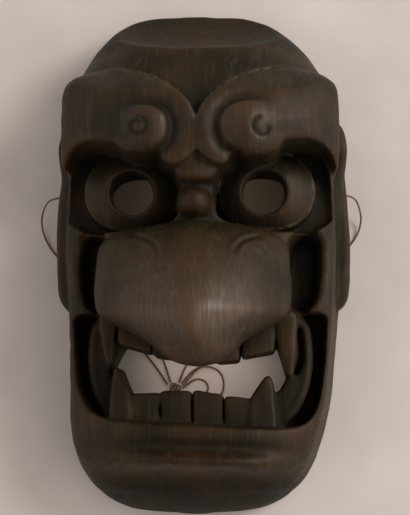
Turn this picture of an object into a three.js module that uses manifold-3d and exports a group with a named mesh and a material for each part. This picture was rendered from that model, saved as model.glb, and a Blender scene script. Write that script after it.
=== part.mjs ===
// A carved wooden grotesque mask, lying on its back: crown towards +Y, face towards +Z,
// with the open rim on the plane z = 0. A thin cord is threaded through a hole in each
// side and tied in a bow behind the mouth. All sizes are in millimetres.
import * as THREE from 'three';
import { mergeVertices } from 'three/addons/utils/BufferGeometryUtils.js';
import Module from 'manifold-3d';

// The block: half its length, the wall left round the hollow, how far a side leans in on its
// way up to the face, how crown and chin round off in plan, and how full the face arches
const HALF_LENGTH = 136;
const WALL = 11;
const DRAFT = 5;
const CROWN_ROUND = { from: 58, power: 3.1 };
const CHIN_ROUND = { from: -46, power: 3.1 };
const END_HALF_WIDTH = 14;
const FACE_ARCH = 2.5;

// Stations down the face from crown to chin, as [y, size]
const SIDE_WIDTH = [[136, 66], [90, 70], [60, 73], [5, 75], [-28, 73], [-60, 71], [-136, 70]];
const SHOULDER = [
  [136, 5], [118, 6], [104, 13], [85, 28], [60, 40], [0, 40], [-60, 40], [-100, 34], [-125, 18], [-136, 7],
];
const FACE_TOP = [
  [136, 24], [122, 48], [108, 64], [85, 76], [62, 79], [40, 72], [0, 65], [-32, 60], [-60, 58], [-88, 60],
  [-100, 60], [-110, 58], [-121, 47], [-130, 32], [-136, 17],
];

// The hollow behind the face, as [y, height], and the deeper pocket behind the nose
const HOLLOW_TOP = [
  [124, 12], [112, 32], [95, 54], [76, 63], [64, 58], [54, 38], [46, 29], [0, 28], [-25, 24], [-45, 17],
  [-82, 17], [-96, 34], [-108, 40], [-119, 27], [-126, 12],
];
const HOLLOW = { low: -5, lean: 2, shoulder: 0.45, power: 3 };
const NOSE_ROOM = { y: -12, rx: 26, ry: 25, foot: 20, depth: 48 };

// A dished cut across the crown, from the ridge down to the rim, shallower towards its ends
const CROWN_CUT = { ridge: [102.5, 60], foot: [136, 10.5], radius: 95, reach: 150 };

// Brows: a raised lobe on each side that grows out of the forehead, and its crown as [y, height]
const BROW = { x: 38, y: 66, low: 36, edge: 7.5, proud: 0.6, fadeFrom: 95, fadeTo: 72 };
const BROW_SPAN = { half: 75, side: 46, power: 3, root: 2.2 };
const BROW_TOP = [[96, 74], [85, 81], [72, 87], [60, 89], [48, 87], [36, 84]];
const BROW_OUTLINE = [
  [0.4, 44], [6, 38.5], [11.5, 36.6], [17, 39.5], [21.5, 43], [27, 45], [33.5, 46], [41, 48.5], [49, 50],
  [56, 50.5], [61.5, 49], [67, 45.5], [71.5, 39], [73, 46], [73.2, 62], [73, 76], [70.5, 85], [61, 90.5], [50, 93], [38, 91.5],
  [27, 87.5], [17, 81], [9, 73], [3.4, 65], [0.4, 57], [0.2, 50],
];

// Each brow curls in to a scroll: a low dome, the groove round it, and a small open curl on it
const SCROLL = { x: 28.5, y: 56.5, rx: 16, ry: 12.5, lift: 6.5, foot: -2.5, merge: 0.55 };
const SCROLL_GROOVE = { radius: 1.7, raise: 0.3, points: [
  [18, 46.5], [14.2, 50], [12, 55], [12.2, 60], [14.5, 64], [19.5, 67], [26, 68], [33, 67], [38, 63.5],
] };
const CURL = { x: 32.3, y: 53.3, radius: 4.9, tube: 1, raise: 0.2, from: 90, turn: 265, points: 7 };

// Eyes: a deep socket, a domed ball with a crisp edge, a round hole to see through, and the
// pocket behind that hole, which leaves the ball about 10 mm thick
const EYE = { x: 33.9, y: 30.3, rx: 24.6, ry: 20.3, low: 30, edge: 49, top: 62 };
const PUPIL = { x: 33, y: 27, radius: 11 };
const EYE_ROOM = { x: 33, y: 28, rx: 15, ry: 11.5, low: 15, top: 50, round: 3 };
const SOCKET = { floor: 39, outline: [
  [10, 15], [20, 10], [34, 7], [50, 7.5], [61, 9.5], [67.5, 15], [67.5, 28], [66, 38], [62, 46], [50, 51],
  [36, 53], [22, 50], [12, 42], [9, 30],
] };

// Bridge of the nose: two knobs, one above the other
const KNOBS = [{ y: 35.5, rx: 11, ry: 9, top: 83 }, { y: 20.5, rx: 12, ry: 8.2, top: 82.4 }];
const KNOB = { low: 50, height: 11 };

// Nose: a broad drooping mass over the upper teeth, as stations [y, size] from bridge to tip
const NOSE_TOP = [[10.5, 74], [4, 84], [-12, 98], [-28, 108], [-44, 112], [-54, 110], [-60, 103], [-64, 92]];
const NOSE_HALF = [
  [10.5, 11], [8, 26], [3.5, 40], [-3, 46], [-14, 48.4], [-28, 48.6], [-37, 45.5], [-43.5, 32], [-50, 22.7],
  [-57, 15.5], [-61.5, 9], [-64, 4],
];
const NOSE_LOW = [[10.5, 44], [-30, 42], [-37, 47], [-50, 66], [-60, 82], [-64, 88]];
const NOSE_WING = { rise: 0.36, power: 1.8, root: 1.5 };

// The short crease that marks the top of each wing of the nose
const WING_CREASE = { radius: 1.3, raise: 0.4, points: [
  [18, -9.5], [19.3, -6], [21.8, -2.2], [26.3, 0.5], [33.4, 2.9],
] };

// Cheeks: a deep hollow between each wing of the nose and the side of the face
const CHEEK = { x: 52.5, y: -13, floor: 34, dish: 2, edge: 14, outline: [
  [47, -31], [53, -33.5], [57.5, -29], [60.5, -18], [61.5, -6], [60.5, 3], [56, 7], [50, 5.5], [45, 0],
  [43, -16],
] };

// Mouth: a framed pocket, the gums that stand in it, and a slot through them, as half outlines
const MOUTH_CENTRE = [0, -62];
const MOUTH = { floor: 27, flare: 0.03, outline: [
  [0, -94.5], [30, -94], [48, -92.5], [57, -87], [61.5, -76], [64, -60], [65, -42], [63.5, -36.5],
  [50, -34.5], [0, -34],
] };
const GUMS = { low: 22, top: 44, round: 3, outline: [
  [0, -96], [36, -94], [46, -86], [52.5, -74], [56, -61], [56, -48], [53, -38], [44, -30], [0, -30],
] };
const SLOT = { floor: -1, outline: [
  [0, -78], [30, -78], [38, -75], [43, -68], [45.5, -62], [42, -53], [34, -46], [0, -43],
] };

// Teeth: their breadth, the line of their roots and of their edges, and their front
const LOWER_TEETH = { from: -34.8, breadth: 14.95, count: 4, root: -97, edge: -72.6 };
const UPPER_TEETH = { from: -38.5, breadth: 19.25, count: 4, root: -32, edge: -56.3 };
const TOOTH = { low: 25, front: 51, gap: 0.9, power: 7, round: 2, crown: 0.5 };

// Fangs: the two that stand up from below differ, the two from above match
const FANG = { low: 25, round: 5, shoulder: 1.2, crown: 0.4 };
const LOWER_RIGHT_FANG = { front: 53, outline: [
  [25.4, -97], [39.2, -97], [39.2, -76], [38, -67], [34.6, -64], [31, -67.5], [25.6, -76],
] };
const LOWER_LEFT_FANG = { front: 53, outline: [
  [-46, -97], [-35.3, -97], [-35.5, -76], [-39, -66], [-42.4, -60.6], [-45.8, -64], [-47, -76],
] };
const UPPER_FANG = { front: 52, outline: [
  [38.9, -36], [43.2, -60], [45.8, -64.8], [48, -60], [49.2, -48], [49.8, -36],
] };

// Lip and chin
const LIP = { y: -96.6, rx: 52, ry: 4.6, lift: 2.6 };
const CHIN_RIDGE = { y: -107, rx: 40, ry: 5.8, lift: 5.5 };
const CHIN_HOLLOW = { y: -118.5, rx: 46, ry: 6.5, depth: 4.5 };
const SWELLING = { low: 40, sink: 1, power: 2.6 };

// Ears: a C-shaped relief on each side wall, given in the plane of that wall as [y, z], and how
// far its face stands off the middle plane, as [y, x]
const EAR = { root: 66, round: 3, outline: [
  [-27, 13], [-22, 5], [-8, 3.8], [20, 5.5], [45, 6], [62, 10], [71, 20], [68, 31], [56, 36], [44, 31],
  [36, 30], [22, 33], [8, 30], [-8, 25], [-22, 22],
] };
const EAR_HOLLOW = { depth: 4.5, over: 0.5, outline: [
  [-8, 12], [10, 10.5], [40, 11.5], [56, 17], [59, 24], [52, 28], [40, 22.5], [24, 26], [10, 22], [-6, 18],
] };
const EAR_FACE = [[71, 75], [58, 77.7], [48, 77.2], [42, 75.4], [33, 77], [5, 79], [-15, 78.8], [-27, 75]];

// The cord's hole in each side wall, and the slight arch of the rim that it returns under
const CORD_HOLE = { x: 75, y: 32, z: 19, radius: 1.7, length: 60 };
const RIM_ARCH = { y: 6, rise: 3.4, half: 40 };

// The cord, as points [x, y, z] along its middle: on each side one thin twine that runs from
// the knot out through its hole and back under the rim to the knot, and the two loops of the bow
const CORD_RADIUS = 0.55;
const CORD_SIDES = 8;
const KNOT = { x: -15.4, y: -69.6, z: 1.95, rx: 3.1, ry: 2.5, rz: 1.85 };
const CORDS = {
  cord_left: { steps: 22, points: [
    [-17.9, -66.6, 1.2], [-21, -57, 0.7], [-27.5, -42, 0.7], [-37, -21, 0.7], [-45, -3, 1.3],
    [-50, 12, 5.4], [-53.5, 24.3, 12.6], [-56.3, 30.6, 17.6], [-60.5, 32, 19], [-71, 32, 19], [-78, 32, 19],
    [-83.3, 30.6, 17], [-87.2, 26.8, 10.8], [-89.2, 21, 4.3], [-88.2, 14.5, 1.5], [-84.5, 7, 0.8],
    [-77, -1.5, 0.65], [-66, -13, 0.65], [-51, -30, 0.65], [-36, -46, 0.65], [-26.5, -57.5, 0.7],
    [-19.5, -67.6, 1.3],
  ] },
  cord_right: { steps: 24, points: [
    [-13.2, -66.5, 1.2], [-9.3, -57.5, 0.7], [4, -42, 0.65], [22, -23, 0.7], [38.5, -4, 1.3], [47.5, 12, 5.4],
    [52.7, 24.3, 12.6], [56.3, 30.6, 17.6], [60.5, 32, 19], [71, 32, 19], [78, 32, 19], [82, 30.6, 17],
    [84.8, 26.8, 10.8], [86.2, 21.5, 4.3], [84.8, 15, 1.5], [80.5, 8, 0.8], [73, 0, 0.65], [60, -11, 0.65],
    [40, -27, 0.65], [18, -44, 0.65], [1.5, -56, 0.65], [-6.8, -61.4, 0.7], [-11.9, -67.3, 1.2],
  ] },
  bow_large: { steps: 13, points: [
    [-11.4, -68.6, 2.2], [-8.4, -65.4, 2.2], [-4.6, -61, 2.1], [-1, -58.6, 2.1], [4.5, -58.7, 1.4],
    [9, -61.6, 0.8], [10.8, -66.6, 0.65], [9.8, -72.6, 0.65], [5, -77, 0.65], [-2, -78.4, 0.65],
    [-9, -76.2, 0.9], [-13.4, -72.9, 1.3],
  ] },
  bow_small: { steps: 11, points: [
    [-11.2, -69.8, 1.2], [-8.2, -67.4, 0.9], [-5.2, -65.4, 0.65], [-1.7, -65, 0.65], [1.2, -66.6, 0.65],
    [2.4, -69.6, 0.65], [1.1, -72.6, 0.65], [-2.3, -74.3, 0.65], [-6.2, -74, 0.75], [-9.4, -73, 1.1],
    [-11.9, -71.8, 1.4],
  ] },
};

const WOOD = new THREE.MeshStandardMaterial({ color: 0x33271d, roughness: 0.5, metalness: 0 });
const TWINE = new THREE.MeshStandardMaterial({ color: 0x6b4c30, roughness: 0.9, metalness: 0 });

const SIDES = [1, -1];
const FAR = 200;                  // past the whole mask, for the end of a cut
const MERGE = 1e-4;               // points nearer than this are one
const LEAN = 1.02;                // a wall that leans in by a fiftieth of its outline

const wasm = await Module();
wasm.setup();

// A closed three.js geometry as a solid that can be joined and cut.
function solid(geometry) {
  const bare = geometry.clone();
  bare.deleteAttribute('normal');
  bare.deleteAttribute('uv');
  const merged = mergeVertices(bare, MERGE);
  return new wasm.Manifold(new wasm.Mesh({
    numProp: 3,
    vertProperties: new Float32Array(merged.attributes.position.array),
    triVerts: new Uint32Array(merged.index.array),
  }));
}

// A solid as a three.js geometry.
function geometryOf(body) {
  const mesh = body.getMesh();
  const points = new Float32Array(mesh.numVert * 3);
  for (let i = 0; i < mesh.numVert; i++) {
    points.set(mesh.vertProperties.subarray(i * mesh.numProp, i * mesh.numProp + 3), i * 3);
  }
  const geometry = new THREE.BufferGeometry();
  geometry.setAttribute('position', new THREE.BufferAttribute(points, 3));
  geometry.setIndex(new THREE.BufferAttribute(new Uint32Array(mesh.triVerts), 1));
  geometry.computeVertexNormals();
  return geometry;
}

// A smooth curve through stations [y, size], read at any y between them.
function along(stations) {
  const sorted = [...stations].sort((a, b) => a[0] - b[0]);
  const last = sorted.length - 1;
  const slope = sorted.map((_, i) => {
    const before = sorted[Math.max(i - 1, 0)];
    const after = sorted[Math.min(i + 1, last)];
    return (after[1] - before[1]) / (after[0] - before[0]);
  });
  return (y) => {
    const at = THREE.MathUtils.clamp(y, sorted[0][0], sorted[last][0]);
    let i = 0;
    while (i < last - 1 && sorted[i + 1][0] < at) i++;
    const span = sorted[i + 1][0] - sorted[i][0];
    const t = (at - sorted[i][0]) / span;
    const ease = t * t * (3 - 2 * t);
    const bend = span * t * (1 - t) * ((1 - t) * slope[i] - t * slope[i + 1]);
    return sorted[i][1] + (sorted[i + 1][1] - sorted[i][1]) * ease + bend;
  };
}

const sideWidth = along(SIDE_WIDTH);
const shoulder = along(SHOULDER);
const faceTop = along(FACE_TOP);
const hollowTop = along(HOLLOW_TOP);
const browTop = along(BROW_TOP);
const noseTop = along(NOSE_TOP);
const noseHalf = along(NOSE_HALF);
const noseLow = along(NOSE_LOW);
const earFace = along(EAR_FACE);

// Half the block's width at the rim: long sides that close in round the crown and the chin.
function halfWidth(y) {
  const round = y > 0 ? CROWN_ROUND : CHIN_ROUND;
  const share = THREE.MathUtils.clamp((y - round.from) / (Math.sign(y) * HALF_LENGTH - round.from), 0, 1);
  return Math.max(sideWidth(y) * (1 - share ** round.power) ** (1 / round.power), END_HALF_WIDTH);
}

// How far an arch has risen at a share of its half width.
function arch(share, power, root = 2) {
  return (1 - Math.min(Math.abs(share), 1) ** power) ** (1 / root);
}

// The height of the plain face over a point of the plan.
function faceHeight(x, y) {
  const share = x / (halfWidth(y) - DRAFT);
  return shoulder(y) + (faceTop(y) - shoulder(y)) * arch(share, FACE_ARCH);
}

// A closed solid lofted down the face. section(y) gives its foot, its half widths at the foot
// and at the shoulder, the heights of shoulder and top, and the power and root of its arch.
// Rows crowd towards the ends of the loft, and columns towards the sides of the arch.
function loft({ from, to, rows, columns, section, ends = 0.6, sides = 0.85 }) {
  const ring = columns + 3;
  const geometry = new THREE.CylinderGeometry(1, 1, 1, ring, rows);
  const position = geometry.attributes.position;
  for (let i = 0; i < position.count; i++) {
    const t = position.getY(i) + 0.5;
    const eased = (1 - Math.cos(Math.PI * t)) / 2;
    const y = from + (to - from) * (ends * eased + (1 - ends) * t);
    const s = section(y);
    const turn = Math.atan2(position.getX(i), position.getZ(i)) / (2 * Math.PI);
    const step = Math.round((turn + 1) * ring) % ring;
    const onAxis = Math.hypot(position.getX(i), position.getZ(i)) < 0.5;
    if (onAxis) {
      position.setXYZ(i, 0, y, (s.low + s.shoulder) / 2);
    } else if (step > columns) {
      position.setXYZ(i, step === columns + 1 ? s.foot : -s.foot, y, s.low);
    } else {
      const swing = Math.sin((step / columns - 0.5) * Math.PI);
      const share = Math.sign(swing) * Math.abs(swing) ** sides;
      position.setXYZ(i, share * s.half, y, s.shoulder + (s.top - s.shoulder) * arch(share, s.power, s.root));
    }
  }
  return solid(geometry);
}

// A smooth closed outline through named points, counter-clockwise in plan.
function outlineOf(points, steps) {
  const corners = points.map(([x, y]) => new THREE.Vector3(x, y, 0));
  return new THREE.CatmullRomCurve3(corners, true, 'centripetal').getSpacedPoints(steps).slice(0, steps);
}

// A whole outline from its right half, which runs from the middle line back to the middle line.
function wholeOf(half) {
  const left = half.filter(([x]) => x > 0).reverse().map(([x, y]) => [-x, y]);
  return [...half, ...left];
}

// An outline of the right side, or the same outline on the left side.
function handed(points, side) {
  return side > 0 ? points : [...points].reverse().map(([x, y]) => [-x, y]);
}

// The mean of an outline's points.
function middleOf(points) {
  return [0, 1].map((axis) => points.reduce((sum, point) => sum + point[axis], 0) / points.length);
}

// An oval outline: round at power 2, squarer above it.
function oval([x, y], rx, ry, power, steps) {
  return Array.from({ length: steps }, (_, i) => {
    const angle = (i / steps) * 2 * Math.PI;
    const bend = (value) => Math.sign(value) * Math.abs(value) ** (2 / power);
    return new THREE.Vector3(x + rx * bend(Math.cos(angle)), y + ry * bend(Math.sin(angle)), 0);
  });
}

// A closed shape over an outline in plan. Each step of the profile is [share, height]: how far
// out from the centre towards the outline it lies, and its height, a number or a function of
// x, y and share.
function shapeOver(outline, centre, profile) {
  const steps = outline.length;
  const geometry = new THREE.LatheGeometry(profile.map(([share], i) => new THREE.Vector2(share, i)), steps);
  const position = geometry.attributes.position;
  for (let i = 0; i < position.count; i++) {
    const share = Math.hypot(position.getX(i), position.getZ(i));
    const turn = Math.atan2(position.getX(i), position.getZ(i)) / (2 * Math.PI);
    const edge = outline[Math.round((turn + 1) * steps) % steps];
    const x = centre[0] + (edge.x - centre[0]) * share;
    const y = centre[1] + (edge.y - centre[1]) * share;
    const height = profile[Math.round(position.getY(i))][1];
    position.setXYZ(i, x, y, typeof height === 'function' ? height(x, y, share) : height);
  }
  return geometry;
}

// A solid that stands on a flat foot, with rings from its edge inwards at one height function.
function mound(outline, centre, low, rings, height) {
  const top = [...rings, 0].map((share) => [share, height]);
  return solid(shapeOver(outline, centre, [[0, low], [1, low], ...top]));
}

// The cutter of a pocket from its floor to well past the face.
function well(outline, centre, floor, mouth = 1) {
  return solid(shapeOver(outline, centre, [[0, floor], [1, floor], [mouth, FAR], [0, FAR]]));
}

// The same over an outline in the plane of a side wall, with heights off the middle plane.
function onSide(points, steps, side, profile) {
  const outline = outlineOf(points, steps);
  const geometry = shapeOver(side > 0 ? outline : outline.reverse(), middleOf(points), profile);
  const position = geometry.attributes.position;
  for (let i = 0; i < position.count; i++) {
    position.setXYZ(i, side * position.getZ(i), position.getX(i), position.getY(i));
  }
  return solid(geometry);
}

// A round groove's cutter, or a cord, along points [x, y, z].
function tube(points, radius, steps, sides) {
  const section = new THREE.Shape(oval([0, 0], radius, radius, 2, sides));
  const path = new THREE.CatmullRomCurve3(points.map((point) => new THREE.Vector3(...point)));
  return new THREE.ExtrudeGeometry(section, { extrudePath: path, steps, bevelEnabled: false });
}

// A round bar along X.
function bar(radius, length, x, y, z, sides) {
  const geometry = new THREE.CylinderGeometry(radius, radius, length, sides);
  geometry.rotateZ(Math.PI / 2);
  geometry.translate(x, y, z);
  return solid(geometry);
}

// The plain block, with walls that lean in and an arched face.
function block() {
  const section = (y) => {
    const foot = halfWidth(y);
    return { low: 0, foot, half: foot - DRAFT, shoulder: shoulder(y), top: faceTop(y), power: FACE_ARCH };
  };
  return loft({ from: -HALF_LENGTH, to: HALF_LENGTH, rows: 23, columns: 16, section });
}

// The cutter of the dished facet over the crown: a long ball that touches the ridge and the foot.
function crownCut() {
  const ridge = new THREE.Vector2(...CROWN_CUT.ridge);
  const foot = new THREE.Vector2(...CROWN_CUT.foot);
  const chord = foot.clone().sub(ridge);
  const reach = Math.sqrt(CROWN_CUT.radius ** 2 - chord.lengthSq() / 4);
  const outward = new THREE.Vector2(-chord.y, chord.x).normalize();
  const middle = ridge.clone().add(foot).multiplyScalar(0.5).addScaledVector(outward, reach);
  const ball = new THREE.SphereGeometry(CROWN_CUT.radius, 34, 34);
  ball.rotateZ(Math.PI / 2);
  ball.scale(CROWN_CUT.reach / CROWN_CUT.radius, 1, 1);
  ball.translate(0, middle.x, middle.y);
  return solid(ball);
}

// How far the brow has grown out of the forehead at y, from 0 to 1.
function browGrowth(y) {
  return THREE.MathUtils.smoothstep(BROW.fadeFrom - y, 0, BROW.fadeFrom - BROW.fadeTo);
}

// The crown of a brow lobe over a point of the plan: it is boxier than the face behind it.
function browCrown(x, y) {
  const rise = arch(x / BROW_SPAN.half, BROW_SPAN.power, BROW_SPAN.root);
  const full = BROW_SPAN.side + (browTop(y) - BROW_SPAN.side) * rise;
  return faceHeight(x, y) + (full - faceHeight(x, y)) * browGrowth(y) + BROW.proud;
}

// A brow lobe, with its edge rounded over.
function brow(side) {
  const height = (x, y, share) => browCrown(x, y) - BROW.edge * browGrowth(y) * (1 - arch(share, 6, 1.8));
  const outline = outlineOf(handed(BROW_OUTLINE, side), 34);
  return mound(outline, [side * BROW.x, BROW.y], BROW.low, [1, 0.93, 0.8, 0.55], height);
}

function scrollHeight(x, y, share) {
  const outward = THREE.MathUtils.smoothstep(Math.abs(x), SCROLL.x - 2, SCROLL.x + SCROLL.rx);
  return browCrown(x, y) + SCROLL.foot + SCROLL.lift * arch(share, 2.4) * (1 - SCROLL.merge * outward);
}

// The curled end of a brow: a low dome that stands clear at the groove and sinks into the lobe.
function scroll(side) {
  const centre = [side * SCROLL.x, SCROLL.y];
  const outline = oval(centre, SCROLL.rx, SCROLL.ry, 2.1, 20);
  return mound(outline, centre, BROW.low, [1, 0.9, 0.7, 0.4], scrollHeight);
}

// The cutter of the groove that parts the scroll from the outer coil of the brow.
function scrollGroove(side) {
  const { points, radius, raise } = SCROLL_GROOVE;
  return solid(tube(points.map(([x, y]) => [side * x, y, browCrown(x, y) + raise]), radius, 10, 5));
}

// The cutter of the small open curl in the middle of a scroll.
function curlGroove(side) {
  const points = Array.from({ length: CURL.points }, (_, i) => {
    const angle = THREE.MathUtils.degToRad(CURL.from + (CURL.turn * i) / (CURL.points - 1));
    const x = CURL.x + CURL.radius * Math.cos(angle);
    const y = CURL.y + CURL.radius * Math.sin(angle);
    const share = Math.hypot((x - SCROLL.x) / SCROLL.rx, (y - SCROLL.y) / SCROLL.ry);
    return [side * x, y, scrollHeight(x, y, share) + CURL.raise];
  });
  return solid(tube(points, CURL.tube, 8, 4));
}

function socket(side) {
  return well(outlineOf(handed(SOCKET.outline, side), 24), [side * EYE.x, EYE.y], SOCKET.floor, LEAN);
}

function eyeball(side) {
  const centre = [side * EYE.x, EYE.y];
  const dome = (x, y, share) => EYE.edge + (EYE.top - EYE.edge) * arch(share, 2.3);
  const profile = [[0, EYE.low], [LEAN, EYE.low], [1, EYE.edge], [0.9, dome], [0.7, dome], [0, dome]];
  return solid(shapeOver(oval(centre, EYE.rx, EYE.ry, 2.35, 20), centre, profile));
}

function pupil(side) {
  const centre = [side * PUPIL.x, PUPIL.y];
  return well(oval(centre, PUPIL.radius, PUPIL.radius, 2, 16), centre, -1);
}

// The pocket behind one eye, carved from inside the hollow.
function eyeRoom(side) {
  const { x, y, rx, ry, low, top, round } = EYE_ROOM;
  const centre = [side * x, y];
  const profile = [[0, low], [1, low], [1, top - round], [0.85, top], [0, top]];
  return solid(shapeOver(oval(centre, rx, ry, 2.2, 12), centre, profile));
}

function knob({ y, rx, ry, top }) {
  const height = (_x, _y, share) => top - KNOB.height * (1 - arch(share, 2.2));
  return mound(oval([0, y], rx, ry, 2.3, 16), [0, y], KNOB.low, [1, 0.85, 0.5], height);
}

function noseHeight(x, y) {
  const foot = noseLow(y) + NOSE_WING.rise * (noseTop(y) - noseLow(y));
  return foot + (noseTop(y) - foot) * arch(x / noseHalf(y), NOSE_WING.power, NOSE_WING.root);
}

function nose() {
  const section = (y) => {
    const half = noseHalf(y);
    const { power, root } = NOSE_WING;
    return { low: noseLow(y), foot: half, half, shoulder: noseHeight(half, y), top: noseTop(y), power, root };
  };
  const [from, to] = [NOSE_TOP[NOSE_TOP.length - 1][0], NOSE_TOP[0][0]];
  return loft({ from, to, rows: 13, columns: 14, section, ends: 0.7 });
}

// The cutter of the crease over one wing of the nose.
function wingCrease(side) {
  const { points, radius, raise } = WING_CREASE;
  return solid(tube(points.map(([x, y]) => [side * x, y, noseHeight(x, y) + raise]), radius, 5, 4));
}

// The cutter of the hollow in one cheek, dished at its floor.
function cheekHollow(side) {
  const { x, y, floor, dish, edge, outline } = CHEEK;
  const profile = [[0, floor], [0.72, floor + dish], [1, floor + edge], [2 * LEAN - 1, FAR], [0, FAR]];
  return solid(shapeOver(outlineOf(handed(outline, side), 18), [side * x, y], profile));
}

function toothRow({ from, breadth, count, root, edge }) {
  const { low, front, gap, power, round, crown } = TOOTH;
  return Array.from({ length: count }, (_, i) => {
    const centre = [from + (i + 0.5) * breadth, (root + edge) / 2];
    const outline = oval(centre, (breadth - gap) / 2, Math.abs(root - edge) / 2, power, 12);
    const profile = [[0, low], [1, low], [1, front - round], [0.82, front], [0, front + crown]];
    return solid(shapeOver(outline, centre, profile));
  });
}

function fang({ front, outline }, side = 1) {
  const { low, round, shoulder: drop, crown } = FANG;
  const points = handed(outline, side);
  const profile = [[0, low], [1, low], [1, front - round], [0.7, front - drop], [0, front + crown]];
  return solid(shapeOver(outlineOf(points, 13), middleOf(points), profile));
}

function gums() {
  const { low, top, round, outline } = GUMS;
  const profile = [[0, low], [1, low], [1, top - round], [0.95, top], [0, top]];
  return solid(shapeOver(outlineOf(wholeOf(outline), 28), MOUTH_CENTRE, profile));
}

// A long low swelling across the chin: the lip under the teeth, or the ridge below it.
function swelling({ y, rx, ry, lift }) {
  const { low, sink, power } = SWELLING;
  const height = (px, py, share) => faceHeight(px, py) - sink + (lift + sink) * arch(share, 2.2);
  return mound(oval([0, y], rx, ry, power, 14), [0, y], low, [1, 0.8, 0.45], height);
}

// The cutter of the shallow hollow under the chin's ridge.
function chinHollow() {
  const { y, rx, ry, depth } = CHIN_HOLLOW;
  const floor = (px, py, share) => faceHeight(px, py) - depth * arch(share, 2) + 0.5;
  const profile = [[0, floor], [0.5, floor], [0.85, floor], [1, floor], [1, FAR], [0, FAR]];
  return solid(shapeOver(oval([0, y], rx, ry, SWELLING.power, 14), [0, y], profile));
}

function ear(side) {
  const face = (drop) => (y) => earFace(y) - drop;
  const floor = face(EAR_HOLLOW.depth);
  const shell = onSide(EAR.outline, 22, side,
    [[0, EAR.root], [1, EAR.root], [1, face(EAR.round)], [0.9, face(0)], [0, face(0)]]);
  const sunk = onSide(EAR_HOLLOW.outline, 14, side,
    [[0, floor], [0.75, floor], [1, face(-EAR_HOLLOW.over)], [1, FAR], [0, FAR]]);
  return shell.subtract(sunk);
}

function cordHole(side) {
  return bar(CORD_HOLE.radius, CORD_HOLE.length, side * CORD_HOLE.x, CORD_HOLE.y, CORD_HOLE.z, 10);
}

// The cutter that arches the rim of both sides off the table.
function rimArch() {
  const radius = (RIM_ARCH.half ** 2 + RIM_ARCH.rise ** 2) / (2 * RIM_ARCH.rise);
  return bar(radius, FAR, 0, RIM_ARCH.y, RIM_ARCH.rise - radius, 100);
}

// The hollow for the wearer's face, carved from behind.
function hollow() {
  const [from, to] = [HOLLOW_TOP[HOLLOW_TOP.length - 1][0], HOLLOW_TOP[0][0]];
  const section = (y) => {
    const foot = halfWidth(y * (HALF_LENGTH / (HALF_LENGTH - WALL))) - WALL;
    const top = hollowTop(y);
    const { low, lean, power } = HOLLOW;
    return { low, foot, half: foot - lean, shoulder: top * HOLLOW.shoulder, top, power };
  };
  return loft({ from, to, rows: 13, columns: 10, section });
}

// The deeper pocket behind the nose.
function noseRoom() {
  const { y, rx, ry, foot, depth } = NOSE_ROOM;
  const height = (_x, _y, share) => foot + depth * arch(share, 2.2);
  return mound(oval([0, y], rx, ry, 2.2, 18), [0, y], 0, [1, 0.85, 0.5], height);
}

function joined(solids) {
  return solids.reduce((whole, next) => whole.add(next));
}

function cutBy(body, cutters) {
  return cutters.reduce((rest, cutter) => rest.subtract(cutter), body);
}

function both(make) {
  return SIDES.map((side) => make(side));
}

function mask() {
  const mouth = well(outlineOf(wholeOf(MOUTH.outline), 36), MOUTH_CENTRE, MOUTH.floor, 1 + MOUTH.flare);
  const hollows = [crownCut(), ...both(socket), ...both(cheekHollow), mouth, chinHollow()];
  const face = joined([cutBy(block(), hollows), gums(), swelling(LIP), swelling(CHIN_RIDGE)]);
  const slot = well(outlineOf(wholeOf(SLOT.outline), 24), MOUTH_CENTRE, SLOT.floor);
  const fangs = [fang(LOWER_RIGHT_FANG), fang(LOWER_LEFT_FANG), ...both((side) => fang(UPPER_FANG, side))];
  const features = [
    ...both(brow), ...both(scroll), ...both(eyeball), ...KNOBS.map(knob), nose(), ...both(ear),
    ...toothRow(LOWER_TEETH), ...toothRow(UPPER_TEETH), ...fangs,
  ];
  const cuts = [
    ...both(scrollGroove), ...both(curlGroove), ...both(wingCrease), ...both(pupil), ...both(eyeRoom), hollow(),
    noseRoom(), rimArch(), ...both(cordHole),
  ];
  return cutBy(joined([cutBy(face, [slot]), ...features]), cuts);
}

function piece(name, geometry, material) {
  const mesh = new THREE.Mesh(geometry, material);
  mesh.name = name;
  return mesh;
}

function knot() {
  const mesh = piece('knot', new THREE.SphereGeometry(1, 8, 6), TWINE);
  mesh.geometry.scale(KNOT.rx, KNOT.ry, KNOT.rz);
  mesh.position.set(KNOT.x, KNOT.y, KNOT.z);
  return mesh;
}

const group = new THREE.Group();
group.add(piece('mask', geometryOf(mask()), WOOD));
for (const [name, { steps, points }] of Object.entries(CORDS)) {
  group.add(piece(name, tube(points, CORD_RADIUS, steps, CORD_SIDES), TWINE));
}
group.add(knot());

export default group;
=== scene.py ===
"""A carved wooden grotesque mask and its tie cord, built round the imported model.

The mask lies on its open back, with the crown towards +Y and the face towards +Z. It is one
block of wood: each part of its carving is a class that shapes a field of distances on a fine
grid, and the finished field becomes one closed mesh. The twine is laid as twisted strands
along its real route. Sizes of the carving and of the twine are in millimetres.
"""

from __future__ import annotations

import logging
import math
from dataclasses import dataclass, field
from enum import Enum
from typing import Any, Sequence, Union

import bpy
import numpy as np
from mathutils import Matrix, Vector


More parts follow.
